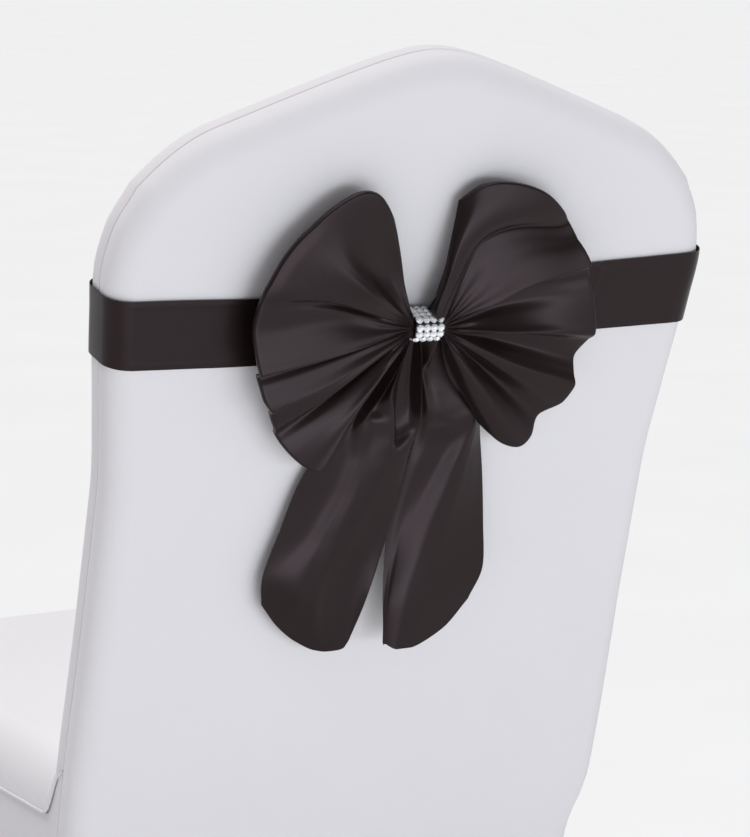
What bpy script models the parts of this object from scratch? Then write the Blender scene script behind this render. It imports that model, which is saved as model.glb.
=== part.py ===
"""Stretch chair cover with a bow sash, modelled for Blender 4.5.

A knitted stretch cover for a crown-backed banquet chair: an outside back, an inside
back, a seat with its boxing, two side skirts, a front skirt and four foot pockets,
sewn edge to edge and hollow inside.  An elastic sash closes round the back and
carries a pleated bow, its two tails and a band of rhinestones round the knot.

Sizes in the tables are millimetres, and the meshes are metres.  X runs across the
chair, +Y is its front, +Z is up, and the origin is on the floor under the middle.
"""

from collections import namedtuple
import math

import bmesh
import bpy

MM = 0.001

# ---------------------------------------------------------------- driving sizes

SEAT_TOP = 450.0            # floor to the seat's rear edge
SEAT_CROWN = 9.0            # how far the seat's cushion stands proud
SEAT_FRONT_HALF = 213.0     # half the seat's width at the front
SEAT_DEPTH = 410.0          # from the back's middle plane to the seat's front
SEAT_TURN = 26.0            # radius over the seat's edge
BOXING = 35.0               # drop from the seat's top to the boxing seam
BOXING_REAR = 1.5           # the same drop where the seam meets the back
BOXING_RUN = 26.0           # length over which the seam curves down
CORNER_TOP = 45.0           # front corner radius at the seat
CORNER_FOOT = 14.0          # front corner radius at the floor

BACK_LEAN = math.radians(14.0)
LEG_SPLAY = math.radians(6.0)
KNEE_TOP = -60.0            # the back post starts to bend this far below the seat
KNEE_RUN = 80.0             # and bends over this length
BACK_THICKNESS = 40.0
BACK_TURN = 13.0            # radius of the back's edge
BACK_BULGE = 2.0            # padding of the outside back
INSIDE_BULGE = 9.0          # padding of the inside back
PAD_RUN = 120.0             # the padding swells over this height above the seat
PAD_START = 0.3             # and already has this much of its swell at the seat
PAD_FADE = 90.0             # and fades out over this height below the crown
SPINE_Y = -135.8            # the back's middle plane at the seat, from the origin

CROWN_HEIGHT = 474.5        # seat to the crown, measured up the back
CROWN_SLOPE = 0.40
CROWN_ROUND = 30.0
SHOULDER_START = 146.0
SHOULDER_END = 193.0
SHOULDER_DROP = 18.0

CLOTH = 1.6                 # stretch knit, with the give of its seams
SEAM_GAP = 0.3
SEAT_GAP = 1.0              # the inside back ends this far above the seat

POCKET_HEIGHT = 60.0
POCKET_SIDE = 40.0
POCKET_HEEL = 3.0           # the pocket's foot is rounded over this height
HEEL_INSET = 2.0            # and drawn in by this much
BACK_HEM = POCKET_HEIGHT + 3.0
ARCH_FRONT = 190.0
ARCH_SIDE = 200.0
ARCH_BACK = 130.0           # the hems rise this much between the feet

SASH_HEIGHT = 46.0
SASH_CLOTH = 1.1
SASH_CLEAR = 0.85
SASH_LEVEL = 308.0          # seat to the middle of the sash, up the back
SASH_TILT = math.tan(math.radians(2.3))

BOW_CLOTH = 1.2
RING_HALF_WIDTH = 10.5
RING_HALF_HEIGHT = 10.5
RING_LOW = 3.8              # the rhinestone band's inner and outer lift
RING_HIGH = 22.0
RING_WALL = 1.6
RING_CORNER = 5.0
WAIST_HALF = 6.5            # half the height of the bow's waist inside the band
WAIST_LIFT = 13.0           # the front layer's lift off the sash at the waist
WING_SWELL = 9.0            # and how much higher it stands halfway along a wing
REAR_LIFT = 6.5             # the rear layer's lift off the sash
REAR_SWELL = 1.5
KNOT_X = -2.0               # the knot sits this far from the back's middle

SideRow = namedtuple("SideRow", "height half_width")
BACK_SIDES = [
    SideRow(-470.0, 184.0),
    SideRow(-250.0, 184.0),
    SideRow(-120.0, 184.0),
    SideRow(-90.0, 186.0),
    SideRow(-75.0, 189.8),
    SideRow(-60.0, 194.8),
    SideRow(-40.0, 198.0),
    SideRow(0.0, 198.5),
    SideRow(110.0, 197.0),
    SideRow(189.0, 197.0),
    SideRow(248.0, 202.0),
    SideRow(285.0, 206.2),
    SideRow(310.0, 208.4),
    SideRow(336.0, 210.6),
    SideRow(364.0, 206.0),
    SideRow(390.0, 193.0),
]

# A pleat line runs from the knot to the bow's rim.  Its angle is measured up from
# the horizontal, its reach from the knot, and its lift above the wing's mean face.
Pleat = namedtuple("Pleat", "angle reach lift")
LEFT_PLEATS = [
    Pleat(63.0, 86.0, -6.0),
    Pleat(59.0, 104.0, 0.0),
    Pleat(52.0, 112.0, 2.0),
    Pleat(40.0, 117.0, -6.0),
    Pleat(27.0, 121.0, 6.0),
    Pleat(11.0, 126.0, -8.0),
    Pleat(-2.0, 124.0, 8.0),
    Pleat(-14.0, 122.0, -8.0),
    Pleat(-24.0, 120.0, 7.0),
    Pleat(-33.0, 120.0, -7.0),
    Pleat(-43.0, 121.0, 3.0),
    Pleat(-51.0, 117.0, -1.0),
    Pleat(-56.0, 106.0, -4.0),
]
RIGHT_PLEATS = [
    Pleat(81.0, 80.0, -8.0),
    Pleat(73.0, 98.0, -2.0),
    Pleat(62.0, 106.0, -5.0),
    Pleat(46.0, 110.0, -3.0),
    Pleat(30.0, 112.0, 5.0),
    Pleat(15.0, 116.0, 8.0),
    Pleat(7.0, 117.0, -4.0),
    Pleat(-2.0, 121.0, 7.0),
    Pleat(-13.0, 115.0, -8.0),
    Pleat(-24.0, 123.0, 6.0),
    Pleat(-36.0, 115.0, -8.0),
    Pleat(-46.0, 117.0, 4.0),
    Pleat(-52.0, 106.0, 0.0),
    Pleat(-55.0, 88.0, -3.0),
]

# A tail's section: its two edges and its lift off the sash.
TailRow = namedtuple("TailRow", "left_x left_z right_x right_z lift pucker")
Fold = namedtuple("Fold", "across height width")
LEFT_TAIL = [
    TailRow(-8.0, 3.0, 8.0, 3.0, 3.3, 0.0),
    TailRow(-9.0, -11.0, 8.5, -12.0, 3.3, 0.0),
    TailRow(-20.0, -30.0, 9.0, -32.0, 3.6, 3.5),
    TailRow(-50.0, -62.0, 9.0, -64.0, 3.8, 5.0),
    TailRow(-66.0, -97.0, 6.0, -96.0, 4.0, 3.0),
    TailRow(-82.0, -149.0, 1.0, -145.0, 4.0, 1.0),
    TailRow(-87.5, -175.0, -7.0, -190.0, 4.0, 0.5),
    TailRow(-80.5, -190.0, -15.0, -221.0, 4.0, 0.0),
]
RIGHT_TAIL = [
    TailRow(-7.0, 3.0, 8.5, 3.0, 1.7, 0.0),
    TailRow(-7.5, -11.0, 9.0, -12.0, 1.7, 0.0),
    TailRow(-8.0, -32.0, 32.0, -30.0, 1.8, 1.0),
    TailRow(-9.0, -64.0, 54.0, -62.0, 1.9, 1.6),
    TailRow(-8.0, -100.0, 63.0, -97.0, 1.9, 1.2),
    TailRow(-2.0, -150.0, 71.0, -140.0, 1.9, 0.8),
    TailRow(5.0, -196.0, 77.0, -178.0, 1.9, 0.4),
    TailRow(9.0, -221.0, 75.0, -188.0, 1.9, 0.0),
]
TAIL_MIDDLE = 2.0           # the wings leave the tails free on both sides of this
LEFT_FOLDS = [
    Fold(-0.55, 0.6, 0.16),
    Fold(-0.15, 1.3, 0.20),
    Fold(0.32, 2.2, 0.15),
    Fold(0.80, 1.2, 0.14),
]
RIGHT_FOLDS = [
    Fold(0.10, 1.3, 0.20),
    Fold(0.62, 2.0, 0.17),
    Fold(0.95, 1.2, 0.10),
]
Tail = namedtuple("Tail", "name rows folds end_bulge folds_from")
TAILS = [
    Tail("tail_left", LEFT_TAIL, LEFT_FOLDS, 16.0, -100.0),
    Tail("tail_right", RIGHT_TAIL, RIGHT_FOLDS, 19.0, 12.0),
]

# ------------------------------------------------------------------ small maths


def blend(low, high, amount):
    """Straight mix of two numbers."""
    return low + (high - low) * amount


def clamp(value, low, high):
    return max(low, min(high, value))


def ease(value):
    """Smooth step from 0 to 1."""
    value = clamp(value, 0.0, 1.0)
    return value * value * (3.0 - 2.0 * value)


def smooth_curve(keys, values, position):
    """Cubic curve through the values, flat where they turn, straight outside."""
    if position <= keys[0]:
        return values[0]
    if position >= keys[-1]:
        return values[-1]
    last = len(keys) - 1
    index = max(i for i in range(last) if keys[i] <= position)

    def slope(i):
        if i == 0 or i == last:
            near, far = (0, 1) if i == 0 else (last - 1, last)
            return (values[far] - values[near]) / (keys[far] - keys[near])
        before = (values[i] - values[i - 1]) / (keys[i] - keys[i - 1])
        after = (values[i + 1] - values[i]) / (keys[i + 1] - keys[i])
        if before * after <= 0.0:
            return 0.0
        return 2.0 * before * after / (before + after)

    span = keys[index + 1] - keys[index]
    t = (position - keys[index]) / span
    start = (2.0 * t + 1.0) * (t - 1.0) ** 2 * values[index]
    start += t * (t - 1.0) ** 2 * span * slope(index)
    end = t * t * (3.0 - 2.0 * t) * values[index + 1]
    end += t * t * (t - 1.0) * span * slope(index + 1)
    return start + end


def table_row(rows, share):
    """A row between the rows of a table, at a share of the way down it."""
    index = list(range(len(rows)))
    at = share * (len(rows) - 1)
    kind = type(rows[0])
    return kind(*(smooth_curve(index, [row[i] for row in rows], at) for i in range(len(rows[0]))))


def steps(count):
    """Even places from 0 to 1."""
    return [i / count for i in range(count + 1)]


def graded(span, edge_steps, coarse_count):
    """Places from 0 at an edge to 1 at the far side, fine over the edge's turn."""
    fine = [distance / span for distance in edge_steps]
    start = fine[-1]
    coarse = [blend(start, 1.0, t) for t in steps(coarse_count)[1:]]
    return fine + coarse


# -------------------------------------------------------- the back's own frame


def spine(height):
    """Forward place, level and lean of the back's middle plane at a height."""
    if height >= KNEE_TOP:
        forward = -height * math.sin(BACK_LEAN)
        return forward, SEAT_TOP + height * math.cos(BACK_LEAN), BACK_LEAN
    radius = KNEE_RUN / (BACK_LEAN + LEG_SPLAY)
    below = KNEE_TOP - height
    lean = BACK_LEAN - min(below, KNEE_RUN) / radius
    forward = -KNEE_TOP * math.sin(BACK_LEAN)
    level = SEAT_TOP + KNEE_TOP * math.cos(BACK_LEAN)
    forward += radius * (math.cos(lean) - math.cos(BACK_LEAN))
    level -= radius * (math.sin(BACK_LEAN) - math.sin(lean))
    straight = max(0.0, below - KNEE_RUN)
    forward += straight * math.sin(lean)
    level -= straight * math.cos(lean)
    return forward, level, lean


def back_point(x, height, depth):
    """A point by its place across, its height up the back and its depth forward."""
    forward, level, lean = spine(height)
    y = SPINE_Y + forward + depth * math.cos(lean)
    return (x, y, level + depth * math.sin(lean))


def height_at_level(level):
    """The height up the back whose middle plane lies at this level."""
    low, high = BACK_SIDES[0].height - 20.0, CROWN_HEIGHT
    for _ in range(40):
        middle = 0.5 * (low + high)
        if spine(middle)[1] < level:
            low = middle
        else:
            high = middle
    return low


def half_width(height):
    heights = [row.height for row in BACK_SIDES]
    return smooth_curve(heights, [row.half_width for row in BACK_SIDES], height)


def crown(x):
    """Height of the back's top edge over a place across."""
    slope = CROWN_SLOPE * (math.hypot(x, CROWN_ROUND) - CROWN_ROUND)
    shoulder = max(0.0, abs(x) - SHOULDER_START) / (SHOULDER_END - SHOULDER_START)
    return CROWN_HEIGHT - slope - SHOULDER_DROP * shoulder ** 2


def back_outline():
    """Points round the back's edge, from the left foot over the crown."""
    foot = height_at_level(0.0)
    shoulder = BACK_SIDES[-1].height
    heights = [blend(foot, shoulder, t) for t in steps(90)]
    left = [(-half_width(h), h) for h in heights]
    top = [(blend(-SHOULDER_END, SHOULDER_END, t), 0.0) for t in steps(60)[1:-1]]
    top = [(x, crown(x)) for x, _ in top]
    right = [(-x, h) for x, h in reversed(left)]
    return left + top + right


class Edge:
    """An outline that tells how far inside it a point lies, and which way is out."""

    def __init__(self, points, centre):
        self.rows = []
        for before, here, after in zip(points[:-2], points[1:-1], points[2:]):
            along = (after[0] - before[0], after[1] - before[1])
            length = math.hypot(*along)
            out = (along[1] / length, -along[0] / length)
            inward = (centre[0] - here[0], centre[1] - here[1])
            if out[0] * inward[0] + out[1] * inward[1] > 0.0:
                out = (-out[0], -out[1])
            self.rows.append((here, out))

    def nearest(self, point):
        def square(row):
            return (row[0][0] - point[0]) ** 2 + (row[0][1] - point[1]) ** 2

        here, out = min(self.rows, key=square)
        inside = (here[0] - point[0]) * out[0] + (here[1] - point[1]) * out[1]
        return max(0.0, inside), out


BACK_EDGE = Edge(back_outline(), (0.0, 150.0))


def turned(distance, radius):
    """Sideways and outward share of a surface that turns over an edge."""
    sideways = 1.0 - clamp(distance / radius, 0.0, 1.0)
    return sideways, math.sqrt(max(0.0, 1.0 - sideways * sideways))


def pad_depth(x, height, bulge):
    """How far a face of the back stands proud of its flat."""
    across = clamp(x / half_width(height), -1.0, 1.0)
    pad = bulge * (1.0 - across ** 2) * ease(height / PAD_RUN + PAD_START)
    return pad * ease((crown(x) - height) / PAD_FADE)


def face_depth(x, height, bulge):
    """Depth of a padded face of the back from its middle plane."""
    distance, _ = BACK_EDGE.nearest((x, height))
    _, outward = turned(distance, BACK_TURN)
    flat = 0.5 * BACK_THICKNESS - BACK_TURN
    return flat + BACK_TURN * outward + pad_depth(x, height, bulge) * outward


# ------------------------------------------------------------- building solids


def make_material(name, colour, roughness, metallic=0.0):
    material = bpy.data.materials.new(name)
    material.use_nodes = True
    shader = material.node_tree.nodes["Principled BSDF"]
    shader.inputs["Base Color"].default_value = (*colour, 1.0)
    shader.inputs["Roughness"].default_value = roughness
    shader.inputs["Metallic"].default_value = metallic
    return material


def add_object(name, points, faces, material, smooth_angle=40.0):
    """A closed solid from its points and faces, with every face turned outwards."""
    mesh = bpy.data.meshes.new(name)
    mesh.from_pydata([tuple(MM * c for c in p) for p in points], [], faces)
    shape = bmesh.new()
    shape.from_mesh(mesh)
    bmesh.ops.recalc_face_normals(shape, faces=shape.faces)
    shape.to_mesh(mesh)
    shape.free()
    mesh.materials.append(material)
    mesh.shade_smooth()
    mesh.set_sharp_from_angle(angle=math.radians(smooth_angle))
    thing = bpy.data.objects.new(name, mesh)
    bpy.context.scene.collection.objects.link(thing)
    return thing


def add_cloth(name, pairs, quads, material):
    """A closed solid from (outer, inner) points and the quads of its outer face."""
    shift = len(pairs)
    points = [pair[0] for pair in pairs] + [pair[1] for pair in pairs]
    uses = {}
    for quad in quads:
        for a, b in zip(quad, quad[1:] + quad[:1]):
            key = (min(a, b), max(a, b))
            uses[key] = uses.get(key, 0) + 1
    faces = list(quads)
    faces += [tuple(i + shift for i in quad[::-1]) for quad in quads]
    faces += [(a, b, b + shift, a + shift) for (a, b), count in uses.items() if count == 1]
    return add_object(name, points, faces, material)


def add_sheet(name, grid, material, ring=False):
    """A cloth from rows of (outer, inner) points; a ring joins its ends."""
    rows, columns = len(grid), len(grid[0])
    quads = []
    for i in range(rows if ring else rows - 1):
        ahead = (i + 1) % rows
        for j in range(columns - 1):
            a, b = i * columns + j, ahead * columns + j
            quads.append((a, a + 1, b + 1, b))
    return add_cloth(name, [pair for row in grid for pair in row], quads, material)


# ---------------------------------------------------------------- cover panels

LEG_ROWS = [-340.0, -240.0, -140.0, -120.0, -100.0, -85.0, -70.0, -55.0, -30.0]
BACK_ROWS = [40.0, 80.0, 120.0, 160.0, 195.0, 225.0, 252.0, 276.0, 298.0]
BACK_ROWS += [318.0, 336.0, 352.0, 366.0, 379.0]
CROWN_PLACES = [-193.0, -182.0, -168.0, -150.0, -128.0, -104.0, -80.0, -56.0, -34.0]
HALF_SHARES = [0.0, 0.04, 0.1, 0.17, 0.25, 0.335, 0.42, 0.5]
PANEL_SHARES = HALF_SHARES + [1.0 - share for share in HALF_SHARES[-2::-1]]
PANEL_COLUMNS = len(PANEL_SHARES) - 1
TURN_ANGLES = [0.0, 22.5, 45.0, 67.5, 90.0]


def edge_stations(heights):
    """Places up the left edge and over half the crown, each with its way out."""
    top_steps = steps(PANEL_COLUMNS // 2)[1:]
    crown_places = CROWN_PLACES + [blend(CROWN_PLACES[-1], 0.0, t) for t in top_steps]
    stations = []
    for height in heights:
        lean = half_width(height + 2.0) - half_width(height - 2.0)
        length = math.hypot(4.0, lean)
        stations.append(((-half_width(height), height), (-4.0 / length, -lean / length)))
    for x in crown_places:
        rise = crown(x + 2.0) - crown(x - 2.0)
        length = math.hypot(4.0, rise)
        stations.append(((x, crown(x)), (-rise / length, 4.0 / length)))
    return stations


def turn_profile():
    """Rings over the back's edge: distance in, depth, and the cloth's two slopes."""
    flat = 0.5 * BACK_THICKNESS - BACK_TURN
    profile = [(0.0, 0.5 * SEAM_GAP, 1.0, 0.0)]
    for degrees in TURN_ANGLES:
        turn = math.radians(degrees)
        sideways, outward = math.cos(turn), math.sin(turn)
        profile.append((BACK_TURN * (1.0 - sideways), flat + BACK_TURN * outward, sideways, outward))
    return profile


def panel_cloth(heights, side, bulge, place):
    """Points and quads of one face of the back: rings over its edge, rows inside."""
    left = edge_stations(heights)
    right = [((-x, h), (-out_x, out_h)) for (x, h), (out_x, out_h) in left[-2::-1]]
    loop = left + right
    pairs, quads, rings = [], [], []
    for distance, depth, sideways, outward in turn_profile():
        ring = []
        for (x, height), (out_x, out_h) in loop:
            inside_x, inside_h = x - distance * out_x, height - distance * out_h
            pad = pad_depth(inside_x, inside_h, bulge) * outward
            move = (CLOTH * sideways * out_x, CLOTH * sideways * out_h)
            pairs.append(place(inside_x, inside_h, side, depth + pad, move, outward))
            ring.append(len(pairs) - 1)
        rings.append(ring)
    for near, far in zip(rings[:-1], rings[1:]):
        for i in range(len(loop) - 1):
            quads.append((near[i], near[i + 1], far[i + 1], far[i]))
    side_rows = len(heights) + len(CROWN_PLACES)
    inner = [loop_place(loop[i], BACK_TURN) for i in range(len(loop))]
    above = None
    for i in range(side_rows):
        row = [rings[-1][i]]
        last = i == side_rows - 1
        start, end = inner[i], inner[-1 - i]
        for j in range(1, PANEL_COLUMNS):
            if last:
                row.append(rings[-1][i + j])
                continue
            x = blend(start[0], end[0], PANEL_SHARES[j])
            depth = 0.5 * BACK_THICKNESS + pad_depth(x, start[1], bulge)
            pairs.append(place(x, start[1], side, depth, (0.0, 0.0), 1.0))
            row.append(len(pairs) - 1)
        row.append(rings[-1][-1 - i])
        if above is not None:
            for j in range(PANEL_COLUMNS):
                quads.append((above[j], above[j + 1], row[j + 1], row[j]))
        above = row
    return pairs, quads


def loop_place(station, distance):
    (x, height), (out_x, out_h) = station
    return x - distance * out_x, height - distance * out_h


def arch(distance, half_span, rise):
    """Height of an arched hem over its foot, zero inside the foot pocket."""
    reach = clamp((distance - POCKET_SIDE) / (half_span - POCKET_SIDE), 0.0, 1.0)
    return rise * math.sin(0.5 * math.pi * reach)


def outside_place(x, height, side, depth, move, outward):
    """Cloth of the outside back, drawn up below the seat to an arched hem."""
    hem = height_at_level(BACK_HEM)
    foot_half = BACK_SIDES[0].half_width
    lifted = arch(foot_half - abs(x), foot_half, ARCH_BACK)
    height += lifted * clamp(height / hem, 0.0, 1.0)
    outer = back_point(x, height, side * depth)
    inside = side * (depth - CLOTH * outward)
    return outer, back_point(x - move[0], height - move[1], inside)


def foot_height(x, depth):
    """Height up the back at which a point of this depth just clears the seat."""
    level = SEAT_TOP
    for _ in range(3):
        rise = level + SEAT_GAP - SEAT_TOP
        height = (rise - depth * math.sin(BACK_LEAN)) / math.cos(BACK_LEAN)
        level = seat_face(x, back_point(x, height, depth)[1])[0][2]
    return height


def inside_place(x, height, side, depth, move, outward):
    """Cloth of the inside back, its foot cut to lie just above the seat."""
    inner_x, inner_height = x - move[0], height - move[1]
    inner_depth = depth - CLOTH * outward
    if height < 1.0:
        height = foot_height(x, depth)
        inner_height = foot_height(inner_x, inner_depth)
    outer = back_point(x, height, side * depth)
    return outer, back_point(inner_x, inner_height, side * inner_depth)


def add_back_panel(cloth):
    heights = [height_at_level(BACK_HEM)] + LEG_ROWS + [0.0] + BACK_ROWS
    pairs, quads = panel_cloth(heights, -1.0, BACK_BULGE, outside_place)
    return add_cloth("back_panel", pairs, quads, cloth)


def add_front_panel(cloth):
    pairs, quads = panel_cloth([0.0] + BACK_ROWS, 1.0, INSIDE_BULGE, inside_place)
    return add_cloth("front_panel", pairs, quads, cloth)


# ------------------------------------------------------------------- the seat

SEAT_REAR_Y = SPINE_Y + BOXING_REAR * math.tan(BACK_LEAN) + 0.5 * SEAM_GAP
SEAT_FRONT_Y = SPINE_Y + SEAT_DEPTH
SEAT_FOOT_Y = SPINE_Y + 0.5 * BACK_THICKNESS + 5.0
SEAT_BACK_HALF = half_width(0.0)


def corner_radius(level):
    return blend(CORNER_FOOT, CORNER_TOP, ease(level / SEAT_TOP))


def seat_side(y):
    """Half the seat's width, before its front corners."""
    along = (y - SEAT_REAR_Y) / (SEAT_FRONT_Y - CORNER_TOP - SEAT_REAR_Y)
    return blend(SEAT_BACK_HALF, SEAT_FRONT_HALF, clamp(along, 0.0, 1.0))


def corner_point(angle, level):
    """A point on the right front corner, from its side (0) to its front (90)."""
    radius = corner_radius(level)
    x = SEAT_FRONT_HALF - radius + radius * math.cos(math.radians(angle))
    y = SEAT_FRONT_Y - radius + radius * math.sin(math.radians(angle))
    return x, y


def seat_outline():
    side_end = SEAT_FRONT_Y - CORNER_TOP
    side = [blend(SEAT_REAR_Y - 8.0, side_end, t) for t in steps(60)[:-1]]
    right = [(seat_side(y), y) for y in side]
    right += [corner_point(90.0 * t, SEAT_TOP) for t in steps(16)]
    inner = right[-1][0]
    front = [(blend(inner, -inner, t), SEAT_FRONT_Y) for t in steps(40)[1:-1]]
    left = [(-x, y) for x, y in reversed(right)]
    return right + front + left


SEAT_EDGE = Edge(seat_outline(), (0.0, 60.0))


SEAM_STEPS = [0.0, 5.0, 10.0, 15.0, 20.0, BOXING_RUN]


def seam_level(y):
    """Level of the seam under the seat's boxing, curving up to the back."""
    run = ease((y - SEAT_REAR_Y) / BOXING_RUN)
    return SEAT_TOP - blend(BOXING_REAR, BOXING, run)


def seat_face(x, y):
    distance, out = SEAT_EDGE.nearest((x, y))
    sideways, upward = turned(distance, SEAT_TURN)
    along = (y - SEAT_FOOT_Y) / (SEAT_FRONT_Y - SEAT_FOOT_Y)
    crown_share = ease(along * 6.0) * (1.0 - (x / 215.0) ** 2)
    top = SEAT_TOP + SEAT_CROWN * crown_share
    low = seam_level(y)
    level = blend(low, top, upward)
    inner = (x - CLOTH * sideways * out[0], y - CLOTH * sideways * out[1])
    return (x, y, level), (*inner, level - CLOTH * upward)


def seat_rear(x):
    """Where the seat panel's rear edge runs, under the inside back."""
    if abs(x) > SEAT_BACK_HALF - 0.5:
        return SEAT_REAR_Y
    depth = face_depth(x, 0.0, INSIDE_BULGE) - CLOTH
    return max(SEAT_REAR_Y, SPINE_Y + depth)


def seat_front(x):
    radius = CORNER_TOP
    beyond = abs(x) - (SEAT_FRONT_HALF - radius)
    if beyond <= 0.0:
        return SEAT_FRONT_Y
    return SEAT_FRONT_Y - radius + math.sqrt(radius ** 2 - beyond ** 2)


def add_seat_panel(cloth):
    corner_x, corner_y = corner_point(45.0, SEAT_TOP)
    edge = [0.0, 1.5, 6.0, 14.0, 27.0]
    half = graded(SEAT_FRONT_HALF, edge, 4)
    places = [t - 1.0 for t in half] + [1.0 - t for t in half[:-1]][::-1]
    side_length = corner_y - SEAT_REAR_Y
    front = [1.0 - t for t in graded(SEAT_DEPTH, edge, 5)]
    forward = [step / side_length for step in SEAM_STEPS]
    forward += [t for t in sorted(front) if t > forward[-1] + 0.05]
    grid = []
    for along in forward:
        side_y = blend(SEAT_REAR_Y, corner_y, along)
        width = seat_side(side_y)
        if side_y > SEAT_FRONT_Y - CORNER_TOP:
            beyond = side_y - (SEAT_FRONT_Y - CORNER_TOP)
            width = SEAT_FRONT_HALF - CORNER_TOP + math.sqrt(CORNER_TOP ** 2 - beyond ** 2)
        row = []
        for across in places:
            rear = seat_rear(across * SEAT_BACK_HALF)
            front = seat_front(across * corner_x)
            row.append(seat_face(across * width, blend(rear, front, along)))
        grid.append(row)
    return add_sheet("seat_panel", grid, cloth)


# ------------------------------------------------------------------ the skirts


def post_point(level):
    """The back post's side at a level, where the side skirt is sewn on."""
    height = height_at_level(level)
    x, y, _ = back_point(half_width(height), height, 0.5 * SEAM_GAP)
    return x, y


def add_side_skirt(name, side, cloth):
    foot = POCKET_HEIGHT + SEAM_GAP
    span = 0.5 * SEAT_DEPTH
    rear_top = seam_level(SEAT_REAR_Y) - SEAM_GAP
    levels = [foot] + [spine(height)[1] for height in LEG_ROWS] + [rear_top]
    ups = [(level - foot) / (rear_top - foot) for level in levels]
    places = [SEAT_REAR_Y + step for step in SEAM_STEPS]
    places += [blend(places[-1], SEAT_FRONT_Y - CORNER_TOP - SEAM_GAP, t) for t in steps(14)[1:]]
    grid = []
    for place in places:
        top = seam_level(place) - SEAM_GAP
        rear_y = post_point(top)[1]
        front_y = SEAT_FRONT_Y - corner_radius(top) - SEAM_GAP
        along = clamp((place - rear_y) / (front_y - rear_y), 0.0, 1.0)
        distance = span - abs(along - 0.5) * 2.0 * span
        hem = foot + arch(distance, span, ARCH_SIDE)
        row = []
        for up in ups:
            level = blend(hem, top, up)
            rear_x, rear_y = post_point(level)
            front_y = SEAT_FRONT_Y - corner_radius(level) - SEAM_GAP
            x = blend(rear_x, SEAT_FRONT_HALF, along)
            y = blend(rear_y, front_y, along)
            row.append(((side * x, y, level), (side * (x - CLOTH), y, level)))
        grid.append(row)
    return add_sheet(name, grid, cloth)


def add_front_skirt(cloth):
    foot = POCKET_HEIGHT + SEAM_GAP
    grid = []
    angles = [90.0 * t for t in steps(4)]
    stations = [("right", angle) for angle in angles]
    stations += [("front", t) for t in steps(16)[1:-1]]
    stations += [("left", angle) for angle in reversed(angles)]
    for part, place in stations:
        row = []
        for up in steps(8):
            rough = blend(foot, SEAT_TOP - BOXING, up)
            inner = SEAT_FRONT_HALF - corner_radius(rough)
            if part == "front":
                x = blend(inner, -inner, place)
                out = (0.0, 1.0)
            else:
                flip = 1.0 if part == "right" else -1.0
                x = flip * corner_point(place, rough)[0]
                turn = math.radians(place)
                out = (flip * math.cos(turn), math.sin(turn))
            distance = SEAT_FRONT_HALF - abs(x)
            hem = foot + arch(distance, SEAT_FRONT_HALF, ARCH_FRONT)
            level = blend(hem, SEAT_TOP - BOXING - SEAM_GAP, up)
            radius = corner_radius(level)
            inner = SEAT_FRONT_HALF - radius
            if part == "front":
                x = blend(inner, -inner, place)
            else:
                x = flip * (inner + radius * math.cos(turn))
            y = SEAT_FRONT_Y - radius + radius * out[1]
            inside = (x - CLOTH * out[0], y - CLOTH * out[1], level)
            row.append(((x, y, level), inside))
        grid.append(row)
    return add_sheet("front_skirt", grid, cloth)


# ------------------------------------------------------------- the foot pockets


def rounded_square(half, radius, per_corner=4):
    """Points and outward directions round a square with round corners."""
    places = []
    for quarter in range(4):
        for t in steps(per_corner):
            turn = 0.5 * math.pi * (quarter + t)
            out = (math.cos(turn), math.sin(turn))
            middle = 0.5 * math.pi * (quarter + 0.5)
            centre_x = math.copysign(half - radius, math.cos(middle))
            centre_y = math.copysign(half - radius, math.sin(middle))
            places.append(((centre_x + radius * out[0], centre_y + radius * out[1]), out))
    return places


def add_pocket(name, centre, radius, cloth):
    """A cup of cloth round a leg's foot: its wall outside, its wall inside."""
    profile = [
        (HEEL_INSET, 0.0),
        (0.0, POCKET_HEEL),
        (0.0, POCKET_HEIGHT),
        (CLOTH, POCKET_HEIGHT),
        (CLOTH, POCKET_HEEL + CLOTH),
        (CLOTH + HEEL_INSET, CLOTH + 0.4),
    ]
    half = 0.5 * POCKET_SIDE
    shape = rounded_square(half, radius)
    points = []
    for inset, level in profile:
        cx, cy = centre(level)
        for place, out in shape:
            points.append((cx + place[0] - inset * out[0], cy + place[1] - inset * out[1], level))
    count = len(shape)
    faces = []
    for ring in range(len(profile) - 1):
        for i in range(count):
            ahead = (i + 1) % count
            a, b = ring * count, (ring + 1) * count
            faces.append((a + i, a + ahead, b + ahead, b + i))
    faces.append(tuple(reversed(range(count))))
    top = (len(profile) - 1) * count
    faces.append(tuple(range(top, top + count)))
    return add_object(name, points, faces, cloth)


def rear_pocket_centre(side):
    def centre(level):
        height = height_at_level(level)
        half = 0.5 * POCKET_SIDE
        x, y, _ = back_point(half_width(height) - half, height, 0.0)
        return side * x, y
    return centre


def front_pocket_centre(side):
    def centre(_level):
        half = 0.5 * POCKET_SIDE
        return side * (SEAT_FRONT_HALF - half), SEAT_FRONT_Y - half
    return centre


def add_pockets(cloth):
    for word, side in (("left", -1.0), ("right", 1.0)):
        rear = rear_pocket_centre(side)
        front = front_pocket_centre(side)
        add_pocket(f"foot_pocket_rear_{word}", rear, BACK_TURN, cloth)
        add_pocket(f"foot_pocket_front_{word}", front, CORNER_FOOT, cloth)


# ------------------------------------------------------------------- the sash


SASH_TURNS = [18.0, 36.0, 54.0, 72.0, 90.0]


def sash_height(x, rise):
    """Height up the back of a line of the sash, which lies a little aslant."""
    return SASH_LEVEL + rise + x * SASH_TILT


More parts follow.
